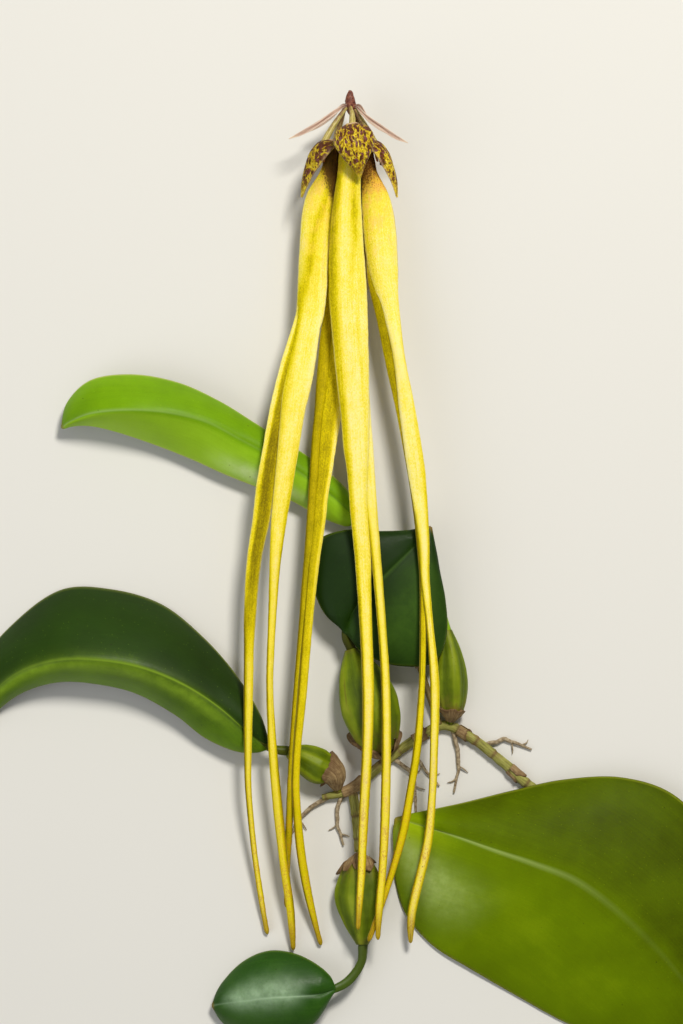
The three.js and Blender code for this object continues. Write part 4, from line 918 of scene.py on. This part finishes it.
def petal(bloom, hand, seed):
    """A small pointed flap beside the column, with a fringed edge."""
    count, across = FINE["petal"]
    u = np.linspace(0, 1, count)[:, None]
    s = spread(across, 0.3)
    half = np.maximum(0.08, 0.85 * np.sqrt(np.clip(1 - u**1.6, 0, 1)) * (0.55 + 0.75 * u - 0.3 * u**2))
    half = half * (1 + 0.1 * np.abs(s) ** 3 * np.sin(u * 70 + seed))
    cup = -0.22 * s**2 * half + 0.12 * np.sin(u * 5)
    grid = bloom.place(hand * (1.9 + 0.8 * u + s * half), 0.2 + 5.2 * u, cup - 0.6)
    return blade(grid, s, PETAL_THICKNESS, 5.0, {"u": u})


def stalk(bloom, seed):
    """Pedicel and ribbed ovary, with the column and its foot grown on its top."""
    facts = bloom.facts
    widening = (OVARY_RADIUS - PEDICEL_RADIUS) / len(facts["pedicel"])
    stations = [(*at, PEDICEL_RADIUS + widening * k) for k, at in enumerate(facts["pedicel"])]
    stations = [*joined(stations), (*facts["heart"], OVARY_RADIUS)]

    def ribbed(u, angle):
        return 1 + (0.03 + 0.05 * u) * np.cos(6 * angle) + 0.03 * noise(u * 20, angle * 2, seed)

    def shade(u, angle, rings):
        return {"flank": np.clip(facts["purple"] + 0.5 * np.cos(angle - 2.4), 0, 1) * (1 - 0.4 * u)}

    def winged(u, angle):
        return 1 + 0.18 * step(u, 0.4, 0.9) * np.cos(2 * angle)

    shells = [tube(stations, "stalk", ribbed, shade)]
    for rows, fine, radial, hand in (
        (COLUMN, "column", winged, 1),
        (COLUMN_FOOT, "column", None, 1),
        (COLUMN_TOOTH, "tooth", None, -1),
        (COLUMN_TOOTH, "tooth", None, 1),
    ):
        rows = [(*bloom.place(hand * s, d, o), radius) for s, d, o, radius in rows]
        shells.append(tube(rows, fine, radial, {"flank": COLUMN_FLANK}))
    return shells


def lip(bloom):
    """A fleshy tongue, bent back on itself, with a furrow along its top."""

    def furrowed(u, angle):
        return 1 - 0.16 * bell(np.sin(angle), 1, 0.35) * step(u, 0.05, 0.3)

    rows = [(*bloom.place(0, d, o), wide, high) for d, o, wide, high in LIP]
    return tube(rows, "lip", furrowed)


# ---------------------------------------------------------------- scape and bracts

SCAPE = [
    (26.7, -188.4, 2.4, 1), (22.8, -177, 2.2, 1), (19.5, -166.5, 2.2, 1), (13.5, -151.5, 3.2, 1),
    (7.5, -134, 5.8, 1), (4.6, -115, 4.6, 1), (4.2, -97, 3, 1), (4.2, -62, 2.2, 1),
    (3.9, -32, 3, 1), (3.4, -16.5, 6, 1), (2.2, -7.5, 10.4, 1.05), (0.4, -3.6, 13, 1.7),
    (0, -0.6, 13.8, 1.3), (0, 1.5, 14, 0.35),
]
SHEATHS = [
    [(21.2, -172, 2.2, 1.25), (17.8, -162, 2.5, 1.6)],
    [(4.3, -105, 3.8, 1.25), (4.2, -93, 2.8, 1.6)],
    [(4.2, -58, 2.2, 1.25), (4.1, -46, 2.3, 1.6)],
]
# The middle of the little cone, where the bracts are rooted.
RACHIS = np.array([0.4, -3.2, 13.2])
RACHIS_SCALES = 9
# How far out each kind of papery scale stands, as a share of what it wraps, and half the angle that
# it covers.
WRAPS = {"sheath": (1.0, 3.0), "bulb sheath": (1.03, 2.7), "collar": (1.14, 2.9)}
SHEATH_THICKNESS = 0.3
SHEATH_TORN = 0.25
BRACT_REACH = 1.1
BRACTS = {
    "bract_left": [
        (-1.5, -3.2, 14.7, 0.45), (-4.8, -5.4, 16.8, 0.75), (-9, -8.4, 17.4, 0.8),
        (-14.1, -11.4, 17, 0.8), (-18.3, -13.2, 16, 0.12),
    ],
    "bract_right": [
        (1.9, -3.6, 14.9, 0.45), (4.8, -6.6, 17, 0.75), (9, -9.6, 17.4, 0.8),
        (13.5, -12.6, 16.8, 0.8), (17.4, -14.4, 15.6, 0.12),
    ],
    "bract_back_left": [
        (-2, -2.8, 12.4, 0.45), (-5.2, -5.8, 11.6, 0.75), (-9.2, -8.7, 10.4, 0.75),
        (-12.8, -10.8, 8.6, 0.12),
    ],
    "bract_back_right": [
        (2.8, -3, 13.2, 0.45), (5.1, -6.6, 12.2, 0.75), (9, -9.6, 11, 0.75), (12.4, -11.8, 9.2, 0.12),
    ],
}


def scape():
    """The flowering stem, thicker where it ends in the little cone that the pedicels leave."""

    def lumpy(u, angle):
        return 1 + 0.05 * fbm(u * 90, np.cos(angle) * 1.5, 3, np.sin(angle) * 1.5)

    def shade(u, angle, rings):
        return {"rachis": step(rings[..., 1], -11, -4)}

    return tube(joined(SCAPE), "scape", lumpy, shade)


def rachis_scales():
    """Small pointed scales crowded round the cone at the stem's tip."""
    shells = []
    for k in range(RACHIS_SCALES):
        turn, ring = k * 2.4, 0.55 + 0.13 * k
        start = [ring * math.cos(turn), 0.1 - 0.5 * k, 13.9 - 0.12 * k + ring * math.sin(turn)]
        start = np.array(start)
        tip = start + np.array([-0.1 * math.cos(turn), 1.3, -0.1 * math.sin(turn)])
        rows = [(*start, 0.5, 0.3), (*(0.5 * (start + tip)), 0.42, 0.2), (*tip, 0.05, 0.05)]
        shells.append(tube(rows, "scale", None, {"rachis": 1.0}))
    return shells


def wrap(stations, fine, turn, seed, torn):
    """A papery scale wrapped round a stem: open at its top, with an uneven torn end."""
    share, span = WRAPS[fine]
    count, across = FINE[fine]
    at, length = even(full_rows(stations), count)
    _, side, top = axes(at[:, :3])
    s = np.linspace(-1, 1, across)[None, :]
    u = np.linspace(0, 1, count)[:, None]
    angle = turn + s * span
    ragged = 1 - torn * (0.5 + 0.5 * fbm(s * 3.5, seed, seed)) - 0.35 * torn * s**2
    along = u * ragged
    cell = along * (count - 1)
    low = np.minimum(cell.astype(int), count - 2)
    part = (cell - low)[..., None]

    def pick(column):
        return column[low] * (1 - part) + column[low + 1] * part

    size = pick(at[:, 3:5])
    grow = share * (1 + 0.06 * fbm(s * 2.5, u * 3, seed + 3) + 0.1 * step(u, 0.6, 1) ** 2)
    a = (np.cos(angle) * size[..., 0] * grow)[..., None]
    b = (np.sin(angle) * size[..., 1] * grow)[..., None]
    grid = pick(at[:, :3]) + unit(pick(side)) * a + unit(pick(top)) * b
    data = {
        "angle": np.cos(angle),
        "top": np.sin(angle),
        "mm": along * length[-1],
        "end": step(u, 0.75, 1),
    }
    return blade(grid, s, SHEATH_THICKNESS, 10.0, data)


def bract(stations, seed):
    """A dry keeled bract that narrows to a fine tip."""
    first = np.array(stations[0][:3], float)
    root = first + unit(RACHIS - first) * BRACT_REACH
    count, across = FINE["bract"]
    at, length = even([(*root, stations[0][3]), *stations], count)
    s = spread(across, 0.3)
    mm = length[:, None]
    u = mm / length[-1]
    half = at[:, 3:4] * (0.86 + 0.05 * fbm(mm / 1.8, np.sign(s), seed))
    twist = 0.35 * noise(mm / 7, seed, seed)
    lift = 0.5 * half * np.abs(s) ** 1.3 + twist * s * half - 0.25 * bell(s, 0, 0.18) * (1 - u)
    lift = lift + 0.25 * np.sin(u * 3.0 + seed) * step(u, 0.05, 0.3) - 0.2 * half
    data = {
        "across": s * half,
        "mm": mm,
        "edge": np.abs(s) ** 3,
        "base": 1 - step(u, 0.0, 0.22),
        "end": step(u, 0.82, 1.0),
    }
    return blade(swept(at[:, :3], s * half, lift), s, 0.36 - 0.16 * u, 5.0, data)


# ---------------------------------------------------------------- rhizome and pseudobulbs

RHIZOME = [
    (-8.4, -211.5, 1.5, 0.9), (0, -209.1, 1.5, 1.5), (10.5, -200.7, 1.5, 1.5), (20.4, -193.5, 1.6, 1.5),
    (28.5, -189.6, 1.6, 1.5), (36, -192.9, 1.5, 1.5), (46.5, -201, 1.5, 1.5), (54, -207.6, 1.5, 1.5),
    (75, -221.1, 1.5, 1.5), (99, -237, 1.5, 1.5), (123, -254.1, 1.5, 1.5), (135, -263.1, 1.5, 1.5),
    (142, -267, 1.5, 0.9),
]
OFFSHOOT = [(0.6, -209, 1.5, 1.5), (1.6, -215, 1.5, 1.5), (2.4, -222, 1.5, 1.5), (2.8, -227.8, 1.7, 1.5)]
# The lengths over which the nodes of the two stems are counted, and the step between two nodes.
RHIZOME_LENGTH = 190.0
OFFSHOOT_LENGTH = 19.0
NODE_STEP = 7.0
# Each root's three places, which share their heights and radii.
ROOTS = [
    [(-6, -211), (-14, -216), (-19, -225)], [(-2, -209.5), (-4, -217), (-2, -226)],
    [(13, -199.5), (19, -205), (20, -216)], [(22, -193), (20, -198.5), (27, -208)],
    [(31, -190.5), (33, -199), (31.5, -210)], [(40, -196), (47, -194), (55, -197)],
    [(104, -240.5), (112, -238), (120, -241)], [(129, -258.4), (131, -251), (128, -244)],
]
ROOT_HEIGHTS = (1.2, 0.8, 0.5)
ROOT_RADII = (0.7, 0.6, 0.3)
BULBS = [
    [
        (-3.8, -208.6, 2.5, 1.2, 1.2), (-5.2, -204.2, 4.4, 3.8, 3.6), (-9.6, -202, 4.5, 5.6, 5.4),
        (-14.6, -199.2, 5.4, 4.4, 4), (-18.6, -197.4, 5.4, 1.7, 1.7),
    ],
    [
        (9.9, -198.9, 2.7, 1.2, 1.2), (9, -195.6, 5, 5.4, 4.8), (6, -185, 6.3, 9.2, 7.6),
        (2.6, -174, 7.4, 6.8, 6), (0.2, -166.4, 7.4, 1.9, 1.9),
    ],
    [
        (30.4, -188, 2.7, 1.2, 1.2), (30.8, -184.6, 4, 3.6, 3.4), (30.6, -176.5, 4.1, 5, 4.9),
        (30, -167.5, 4.6, 3.7, 3.6), (29.1, -160.8, 4.4, 1.7, 1.7),
    ],
    [
        (136.3, -265.9, 2.7, 1.2, 1.2), (134.4, -268.4, 4.4, 4, 3.8), (130, -274, 4.6, 6.2, 5.6),
        (126, -278.8, 5.2, 4.2, 4), (123, -281.8, 5, 1.7, 1.7),
    ],
    [
        (2.9, -228.4, 2.7, 1.2, 1.2), (3, -232.2, 4.4, 5, 4.4), (3.3, -240.5, 4.6, 8, 5.6),
        (3.6, -249, 5, 5.6, 4.6), (3.8, -255.6, 5, 1.9, 1.9),
    ],
]
# Papery scales: how far up each pseudobulb, the way it opens and how torn it is; and the shares of
# the rhizome that its collars cover.
BULB_SHEATHS = [(0.5, 2.2, 0.5), (0.44, -1.2, 0.7), (0.34, 2.4, 0.7), (0.5, 1.0, 0.5), (0.42, 2.8, 0.7)]
COLLARS = [
    (0.06, 0.13), (0.24, 0.3), (0.38, 0.43), (0.52, 0.58), (0.67, 0.72), (0.78, 0.84), (0.93, 0.98),
]
SHEATH_SPARE = 0.15
COLLAR_TORN = 0.6


def creeping(stations, fine, length):
    """A stem with a node every few millimetres."""

    def radial(u, angle):
        mm = u * length
        phase = mm % NODE_STEP
        bulge = 0.08 * bell(phase, 0.5, 0.5) - 0.06 * bell(phase, 1.6, 0.7)
        return 1 + bulge + 0.07 * fbm(mm / 2.4, np.cos(angle) * 1.6, 11, np.sin(angle) * 1.6)

    def data(u, angle, rings):
        return {"ring": bell((u * length) % NODE_STEP, 1.1, 0.5), "root": 0.0}

    return tube(stations, fine, radial, data)


def wiry(rows, fine, seed):
    """A thin root that wanders a little and lies on the ground."""
    count = FINE[fine][0]
    at, length = even(rows, count)
    sway = np.minimum(at[:, 3], 0.5) * 0.7 * np.sin(length / length[-1] * math.pi)
    at[:, 0] += sway * noise(length / 2.2, seed, seed)
    at[:, 1] += sway * noise(length / 2.2, seed + 4, seed)

    def radial(u, angle):
        return 1 + 0.14 * fbm(u * length[-1] / 1.4, np.cos(angle), seed, np.sin(angle))

    stations = [*at[:: max(1, count // 16)], at[-1]]
    return tube(stations, fine, radial, {"ring": 0.0, "root": 1.0})


def rhizome():
    """The creeping stem and its offshoot, with wiry roots and two rootlets on each."""
    shells = [creeping(RHIZOME, "rhizome", RHIZOME_LENGTH), creeping(OFFSHOOT, "offshoot", OFFSHOOT_LENGTH)]
    for k, root in enumerate(ROOTS):
        rows = [(*at, z, radius) for at, z, radius in zip(root, ROOT_HEIGHTS, ROOT_RADII)]
        shells.append(wiry(rows, "root", k))
        bend, end = np.array(rows[1][:3]), np.array(rows[2][:3])
        way = end - bend
        for j, share in enumerate((0.25, 0.6)):
            turn = 1 if (j + k) % 2 else -1
            away = unit(np.array([way[1], -way[0], 0.0]) * turn) * (3.4 - j) + way * 0.16
            start = bend + way * share
            middle = start + away * 0.55 + np.array([0.3, -0.2, -0.05])
            stop = start + away
            stop[2] = 0.3
            rootlet = [(*start, 0.26), (*middle, 0.22), (*stop, 0.1)]
            shells.append(wiry(rootlet, "rootlet", 40 + k * 3 + j))
    return shells


def bulb(stations, seed):
    """A pseudobulb with five blunt ridges, wrinkled between them."""

    def radial(u, angle):
        full = step(u, 0.02, 0.3) * (1 - step(u, 0.8, 1))
        ridges = 0.95 - 0.05 * np.cos(5 * angle) * full + 0.04 * (1 - full)
        fine = 0.012 * np.cos(15 * angle + 3 * noise(u * 3, angle, seed)) * full
        return ridges + fine + 0.02 * fbm(u * 7, np.cos(angle) * 1.4, seed, np.sin(angle) * 1.4)

    def data(u, angle, rings):
        base = (1 - step(u, 0.05, 0.4)) * 0.8 + 0.35 * step(u, 0.88, 1)
        return {"ridge": 0.5 - 0.5 * np.cos(5 * angle), "base": base}

    return tube(joined(stations), "bulb", radial, data)


# ---------------------------------------------------------------- leaves
# How far a leaf's halves swell and wave; how much painted light and shade lighten or darken its left
# half, right half and base, and paint its tip lighter where it curves from the light (pale); its
# painted sheen's place and width across it and its start and end along it; how plain its rib is at
# base and tip; its gloss, and its deep, middle, light, painted sheen and margin colours.
# A row of the blade is a point of the midrib, of the left margin and of the right margin.

LEAVES = {
    "leaf_1": {
        "swell": 1.6, "wave": 0.7, "seed": 21, "tones": (-0.15, 0.3, 0.0), "pale": 0,
        "bloom": (0.22, 0.2, 0.2, 0.9), "rib": (1, 0.35), "gloss": 0.2,
        # Colours darkened to paint the shade this leaf lies in.
        "colours": ((16, 30, 2), (36, 62, 4), (112, 150, 14), (140, 172, 40), (132, 144, 36)),
        "petiole": [(-19.4, -197.1, 5.4, 1.5), (-23, -196.6, 6, 1.3)],
        "blade": [
            (-24.6, -196.3, 6.6, -24.2, -195.2, 6.3, -25, -197.4, 6.3),
            (-31, -191.2, 9, -26.8, -186.6, 6.2, -33.2, -197.6, 6),
            (-40.5, -183, 12, -34.5, -174, 4, -43.5, -193.5, 5),
            (-51, -176.4, 15, -45, -162.3, 2, -52.5, -186.6, 4.5),
            (-63, -171.6, 17, -57, -153, 0.9, -64.5, -180, 5),
            (-75, -169.5, 17.6, -72, -148.5, 0.4, -75, -177.3, 6),
            (-87, -169.5, 16.6, -87, -148.5, 0.6, -87, -176.4, 6.6),
            (-99, -173.1, 13, -102, -159, 1.4, -97.5, -179.1, 6),
            (-108.6, -180.9, 8, -112.5, -172.5, 2.4, -105, -183.9, 4),
            (-116.1, -193.5, 2.4, -117, -192.9, 1.8, -115, -194.4, 1.8),
        ],
    },
    "leaf_2": {
        "swell": 1.2, "wave": 0.5, "seed": 22, "tones": (0.05, -0.1, 0.0), "pale": 0,
        "bloom": (-0.5, 0.3, 0.2, 0.8), "rib": (1, 0.35), "gloss": 0.18,
        # Colours darkened to paint the shade this leaf lies in.
        "colours": ((12, 28, 2), (24, 48, 4), (52, 86, 8), (64, 96, 22), (88, 104, 22)),
        "petiole": [(0, -165.4, 7.5, 1.5), (-1.2, -162.9, 8.8, 1.3)],
        "blade": [
            (-1.6, -161.4, 10, -3, -160.2, 9.8, -0.4, -162.6, 9.8),
            (0, -156.9, 11, -8.1, -155.1, 10, 3.6, -167.1, 10),
            (3.6, -151.2, 12, -11.4, -145.5, 9.3, 13.5, -171.3, 9.9),
            (9, -145.8, 12.5, -9.6, -133.8, 9.3, 25.8, -170.1, 9.9),
            (14.1, -140.7, 12.3, -1.5, -130.5, 9.6, 29.1, -162, 10),
            (18.6, -136.2, 11.6, 8.4, -130.8, 9.6, 28.8, -151.5, 10),
            (21.9, -132.6, 10.8, 18, -130.5, 9.7, 27, -142.5, 9.9),
            (24.3, -129.6, 10, 23.4, -129.3, 9.8, 25.2, -131.1, 9.8),
        ],
    },
    "leaf_3": {
        "swell": 1.4, "wave": 0.6, "seed": 23, "tones": (0.0, 0.5, -0.1), "pale": 0,
        "bloom": (0.72, 0.2, 0.2, 0.38), "rib": (0.05, 0.22), "gloss": 0.18,
        "colours": ((62, 100, 2), (116, 160, 2), (164, 208, 40), (232, 242, 200), (206, 212, 112)),
        "petiole": [
            (29, -160.3, 4.4, 1.4), (27.4, -155.4, 4, 1.2), (21, -148.8, 3, 1.1), (13.5, -141.6, 2.2, 1.1),
            (7.5, -135, 2.4, 1.1), (3.6, -129, 4.8, 1.3),
        ],
        "blade": [
            (2.4, -127.5, 5.4, 3.6, -124.5, 5.2, 0.6, -130.2, 5.2),
            (-4.5, -120.9, 7.5, -1.5, -117.6, 5.2, -7.2, -127.5, 4.4),
            (-15, -113.1, 9.5, -11.4, -109.2, 5.2, -18.3, -121.5, 5),
            (-24, -108, 10.8, -19.8, -103.8, 5.5, -28.2, -117.6, 5),
            (-33, -103.2, 12.5, -28.8, -98.1, 6, -37.8, -113.8, 4.8),
            (-43.5, -97.8, 15, -39, -91.8, 7, -48, -109.2, 4.6),
            (-55.5, -95, 17, -51.6, -86.1, 8, -60, -104.5, 4.6),
            (-67.5, -94.4, 16.5, -66, -83.6, 8, -71.6, -100.7, 5),
            (-77.4, -95.4, 13, -78.6, -85.5, 6.5, -79.2, -99.1, 5.4),
            (-84, -97.8, 8.5, -85.2, -91.8, 4.8, -84.6, -99.4, 5.4),
            (-86.8, -99.6, 5, -87.2, -98.4, 4.6, -86.6, -100.2, 4.6),
        ],
    },
    "leaf_4": {
        "swell": 2, "wave": 0.8, "seed": 24, "tones": (-0.26, 0.12, -0.22), "pale": 0.4,
        "bloom": (0.62, 0.2, 0.66, 0.93), "rib": (0.05, 0.8), "gloss": 0.05,
        "colours": ((60, 72, 0), (100, 124, 0), (146, 170, 12), (184, 204, 122), (158, 164, 44)),
        "petiole": [(122.3, -282.2, 5, 1.5), (117, -284.4, 5, 1.4), (112.5, -283.2, 5, 1.5)],
        "blade": [
            (109.8, -281.1, 5.2, 111.6, -279.3, 4.9, 107.4, -282.9, 4.9),
            (106.2, -275.1, 8, 114.9, -267, 4.6, 99, -287.1, 2.5),
            (99.9, -265.5, 11, 116, -248, 4.9, 82.5, -285.6, 1),
            (91.5, -255.6, 13, 112.5, -228, 5.1, 66, -279.9, 0.6),
            (79.5, -244.2, 14, 98, -210.6, 5.1, 51, -271.8, 0.4),
            (67.5, -235.5, 14, 82.5, -205.2, 5.3, 36.6, -263.4, 0.6),
            (55.5, -230.7, 13, 64.5, -205.8, 5.3, 24.6, -255.9, 0.6),
            (43.8, -226.8, 11.5, 48, -209.4, 4.6, 16.8, -246.6, 0.8),
            (31.5, -222.6, 9, 33.6, -213, 3.8, 13.8, -237.3, 1.2),
            (21, -219.5, 6, 22.5, -215.4, 3, 13.1, -228, 2),
            (13.8, -217.8, 3, 14.1, -217.2, 2.6, 12.9, -219, 2.6),
        ],
    },
    "leaf_5": {
        "swell": 1.4, "wave": 0.5, "seed": 25, "tones": (0.0, 0.1, 0.0), "pale": 0,
        "bloom": (-0.1, 0.3, 0.3, 0.8), "rib": (1, 0.35), "gloss": 0.24,
        # Colours darkened to paint the shade this leaf lies in.
        "colours": ((16, 40, 4), (34, 72, 8), (72, 116, 26), (168, 196, 158), (100, 126, 40)),
        "petiole": [(3.9, -256.4, 5, 1.5), (3.4, -261, 5.2, 1.3), (-0.6, -266.6, 6.2, 1.4)],
        "blade": [
            (-4.6, -269, 7.8, -4, -267, 7.4, -5.4, -271.4, 7.4),
            (-10.5, -270.4, 9.6, -8.6, -262.4, 6.6, -11, -279.6, 6),
            (-17.5, -270.8, 11.2, -16.4, -258.4, 4.6, -17.4, -283.8, 3),
            (-24.5, -271.2, 11.4, -24.6, -257.6, 3.4, -24.8, -285.8, 1.4),
            (-31.5, -272.2, 9.8, -32.2, -260.8, 2.6, -31.6, -284.8, 0.7),
            (-37.4, -273.2, 6.6, -38.4, -267, 2.2, -37.6, -280.5, 0.8),
            (-41.4, -274.2, 3.2, -41.7, -272.8, 2.4, -41.4, -275.8, 2.4),
        ],
    },
}

# The petiole runs on under the blade as its keel: (share of the blade, depth, radius). A blade's
# ends are rounded over LEAF_END, and it swells and waves in full where it is LEAF_FULL wide.
KEEL = [(0.05, 0.7, 1.2), (0.16, 0.9, 0.95), (0.4, 0.8, 0.7), (0.75, 0.55, 0.35)]
LEAF_END = 3.0
LEAF_FULL = 8
PETIOLE_REACH = 1.2


def leaf(facts):
    """A leathery blade folded along its midrib, on a channelled petiole."""
    count, across = FINE["leaf"]
    u = np.linspace(0, 1, count)
    points = np.array(facts["blade"], float).reshape(-1, 3, 3)
    middle, left, right = (spline(points[:, k], u) for k in range(3))
    half_way = count // 2
    turn = np.cross(middle[half_way + 1] - middle[half_way], (right - left)[half_way])
    if turn[2] < 0:
        left, right = right, left
    u = u[:, None]
    length = run(middle)[:, None]
    s = spread(across, 0.25)
    ends = np.minimum(length, length[-1] - length) / LEAF_END
    centre = middle[:, None]
    margin = np.where((s < 0)[..., None], left[:, None], right[:, None])
    margin = centre + (margin - centre) * rounded(ends)[..., None]
    grid = centre + (margin - centre) * np.abs(s)[..., None]
    width = np.linalg.norm(margin - centre, axis=2)
    full = np.minimum(1, width / LEAF_FULL)
    seed = facts["seed"]
    lift = facts["swell"] * full * 4 * np.abs(s) * (1 - np.abs(s))
    lift = lift + facts["wave"] * full * np.abs(s) ** 2 * noise(length / 17, np.sign(s) * 2, seed)
    lift = lift + 0.16 * full * fbm(length / 12, s * 3, seed + 3)
    base_rib, tip_rib = facts["rib"]
    ridge = base_rib + (tip_rib - base_rib) * step(u, 0.3, 0.85)
    lift = lift - 0.4 * bell(s * width, 0, 0.9) * full * (0.3 + 0.7 * ridge)
    grid[..., 2] += lift

    # Painted light and shade: each half, the base and the tip are made lighter or darker by where the light
    # falls.
    left_tone, right_tone, base_tone = facts["tones"]
    fade = 0.5 * step(np.abs(s), 0.02, 0.16) + 0.5 * np.abs(s)
    tone = 0.5 + np.where(s < 0, left_tone, right_tone) * fade
    tone = tone + base_tone * (1 - u) + facts["pale"] * step(u, 0.74, 0.97)
    at, wide, start, stop = facts["bloom"]
    sheen = bell(s, at, wide) * step(u, start - 0.12, start + 0.1)
    data = {
        "across": s * width,
        "mm": length,
        "tone": tone,
        "rib": np.clip(bell(s * width, 0, 0.4) * step(length, 1, 12) * ridge, 0, 1),
        "bloom": sheen * (1 - step(u, stop - 0.1, stop + 0.12)),
        "margin": step(width * (1 - np.abs(s)), 0.9, 0.1) * full,
        "beak": step(u, 0.955, 0.995),
    }
    shells = [blade(grid, s, 1.0 - 0.35 * np.abs(s) ** 3, 12.0, data)]

    def channel(v, angle):
        return 1 - 0.22 * bell(np.sin(angle), 1, 0.3) * step(v, 0.06, 0.2)

    def plain(v, angle, rings):
        face = 2 * step(np.sin(angle), -0.3, 0.3) - 1
        return {"tone": 0.55, "beak": 0.25 * (1 - v), "face": face, "across": np.cos(angle)}

    stations = joined(facts["petiole"], PETIOLE_REACH)
    for share, drop, radius in KEEL:
        x, y, z = middle[int(share * (count - 1))]
        stations.append((x, y, z - drop, radius))
    shells.append(tube(stations, "petiole", channel, plain))
    return shells


# ---------------------------------------------------------------- the plant

SKINS = {
    "sepal": sepal_material(), "hood": hood_material(), "petal": petal_material(), "lip": lip_material(),
    "stalk": stalk_material(), "bract": bract_material(), "scape": scape_material(),
    "rhizome": rhizome_material(), "bulb": bulb_material(),
}
PAPER = sheath_material("paper", (196, 176, 138), (110, 80, 54))
BULB_PAPER = sheath_material("bulb_paper", (176, 150, 104), (96, 68, 40))


def dress(node, slot, *shells):
    """The piece that stands for a node, in the skin of its slot."""
    piece(f"{node}_skin", shells, SKINS[slot], slot, node)



for number, (name, facts) in enumerate(BLOOMS.items()):
    bloom = Bloom(facts)
    halves = [sepal(bloom, f"{name} {half}", 10 * number + k) for k, half in enumerate(("outer", "inner"))]
    dress(f"{name}_lateral_sepals", "sepal", *halves)
    dress(f"{name}_dorsal_sepal", "hood", hood(bloom, number))
    for hand, side in ((-1, "left"), (1, "right")):
        dress(f"{name}_petal_{side}", "petal", petal(bloom, hand, number + hand))
    dress(f"{name}_lip", "lip", lip(bloom))
    dress(f"{name}_stalk", "stalk", *stalk(bloom, number))

dress("scape", "scape", scape(), *rachis_scales())
papers = [wrap(rows, "sheath", 1.2 + k, 30 + k, SHEATH_TORN) for k, rows in enumerate(SHEATHS)]
piece("scape_sheaths", papers, PAPER, "scape")
for number, (name, stations) in enumerate(BRACTS.items()):
    dress(name, "bract", bract(stations, number))

dress("rhizome", "rhizome", *rhizome())
for k, stations in enumerate(BULBS):
    dress(f"pseudobulb_{k + 1}", "bulb", bulb(stations, k))
papers = []
for k, (high, turn, torn) in enumerate(BULB_SHEATHS):
    papers.append(wrap(cut(BULBS[k], 0, high, SHEATH_SPARE), "bulb sheath", turn, 60 + k, torn))
piece("bulb_sheaths", papers, BULB_PAPER, "bulb")
papers = []
for k, (start, stop) in enumerate(COLLARS):
    papers.append(wrap(cut(RHIZOME, start, stop), "collar", 1.7 * k, 80 + k, COLLAR_TORN))
piece("rhizome_collars", papers, BULB_PAPER, "rhizome")
for name, facts in LEAVES.items():
    leaf_skin = leaf_material(name, facts["gloss"], *facts["colours"])
    piece(f"{name}_skin", leaf(facts), leaf_skin, "leaf", name)

# ---------------------------------------------------------------- floor, light and camera

FLOOR_SIZE = 12.0
FLOOR_DROP = 0.0002
FLOOR_COLOUR = (220, 218, 212)
# Round area lights aimed at the origin: place, size, watts and colour.
LIGHTS = {
    "key": ((0.28, 0.72, 1.16), 0.32, 17.5, (1.0, 0.97, 0.9)),
    "fill": ((-0.9, -0.4, 0.9), 1.4, 5, (0.92, 0.96, 1.0)),
}
WORLD_STRENGTH = 0.24
CAMERA_PLACE = (-0.015017, 0.017978, 1.7217)
CAMERA_LENS = 200

bpy.ops.mesh.primitive_plane_add(size=FLOOR_SIZE, location=(0, 0, -FLOOR_DROP))
floor = bpy.context.object
floor.name = "floor"
floor.data.materials.append(Graph("ground", Roughness=0.9, Base_Color=rgb(*FLOOR_COLOUR)).material)

scene = bpy.context.scene
for name, (place, size, watts, colour) in LIGHTS.items():
    light = bpy.data.lights.new(name, "AREA")
    light.shape = "DISK"
    light.size = size
    light.energy = watts
    light.color = colour
    made = bpy.data.objects.new(name, light)
    made.location = place
    made.rotation_euler = (-Vector(place)).to_track_quat("-Z", "Y").to_euler()
    scene.collection.objects.link(made)

scene.world = bpy.data.worlds.new("studio")
scene.world.use_nodes = True
background = scene.world.node_tree.nodes["Background"]
background.inputs["Color"].default_value = (1, 1, 1, 1)
background.inputs["Strength"].default_value = WORLD_STRENGTH
scene.view_settings.view_transform = "Standard"

camera = bpy.data.cameras.new("camera")
camera.lens = CAMERA_LENS
camera.sensor_width = 36
camera.clip_end = 20
scene.camera = bpy.data.objects.new("camera", camera)
scene.camera.location = CAMERA_PLACE
scene.collection.objects.link(scene.camera)
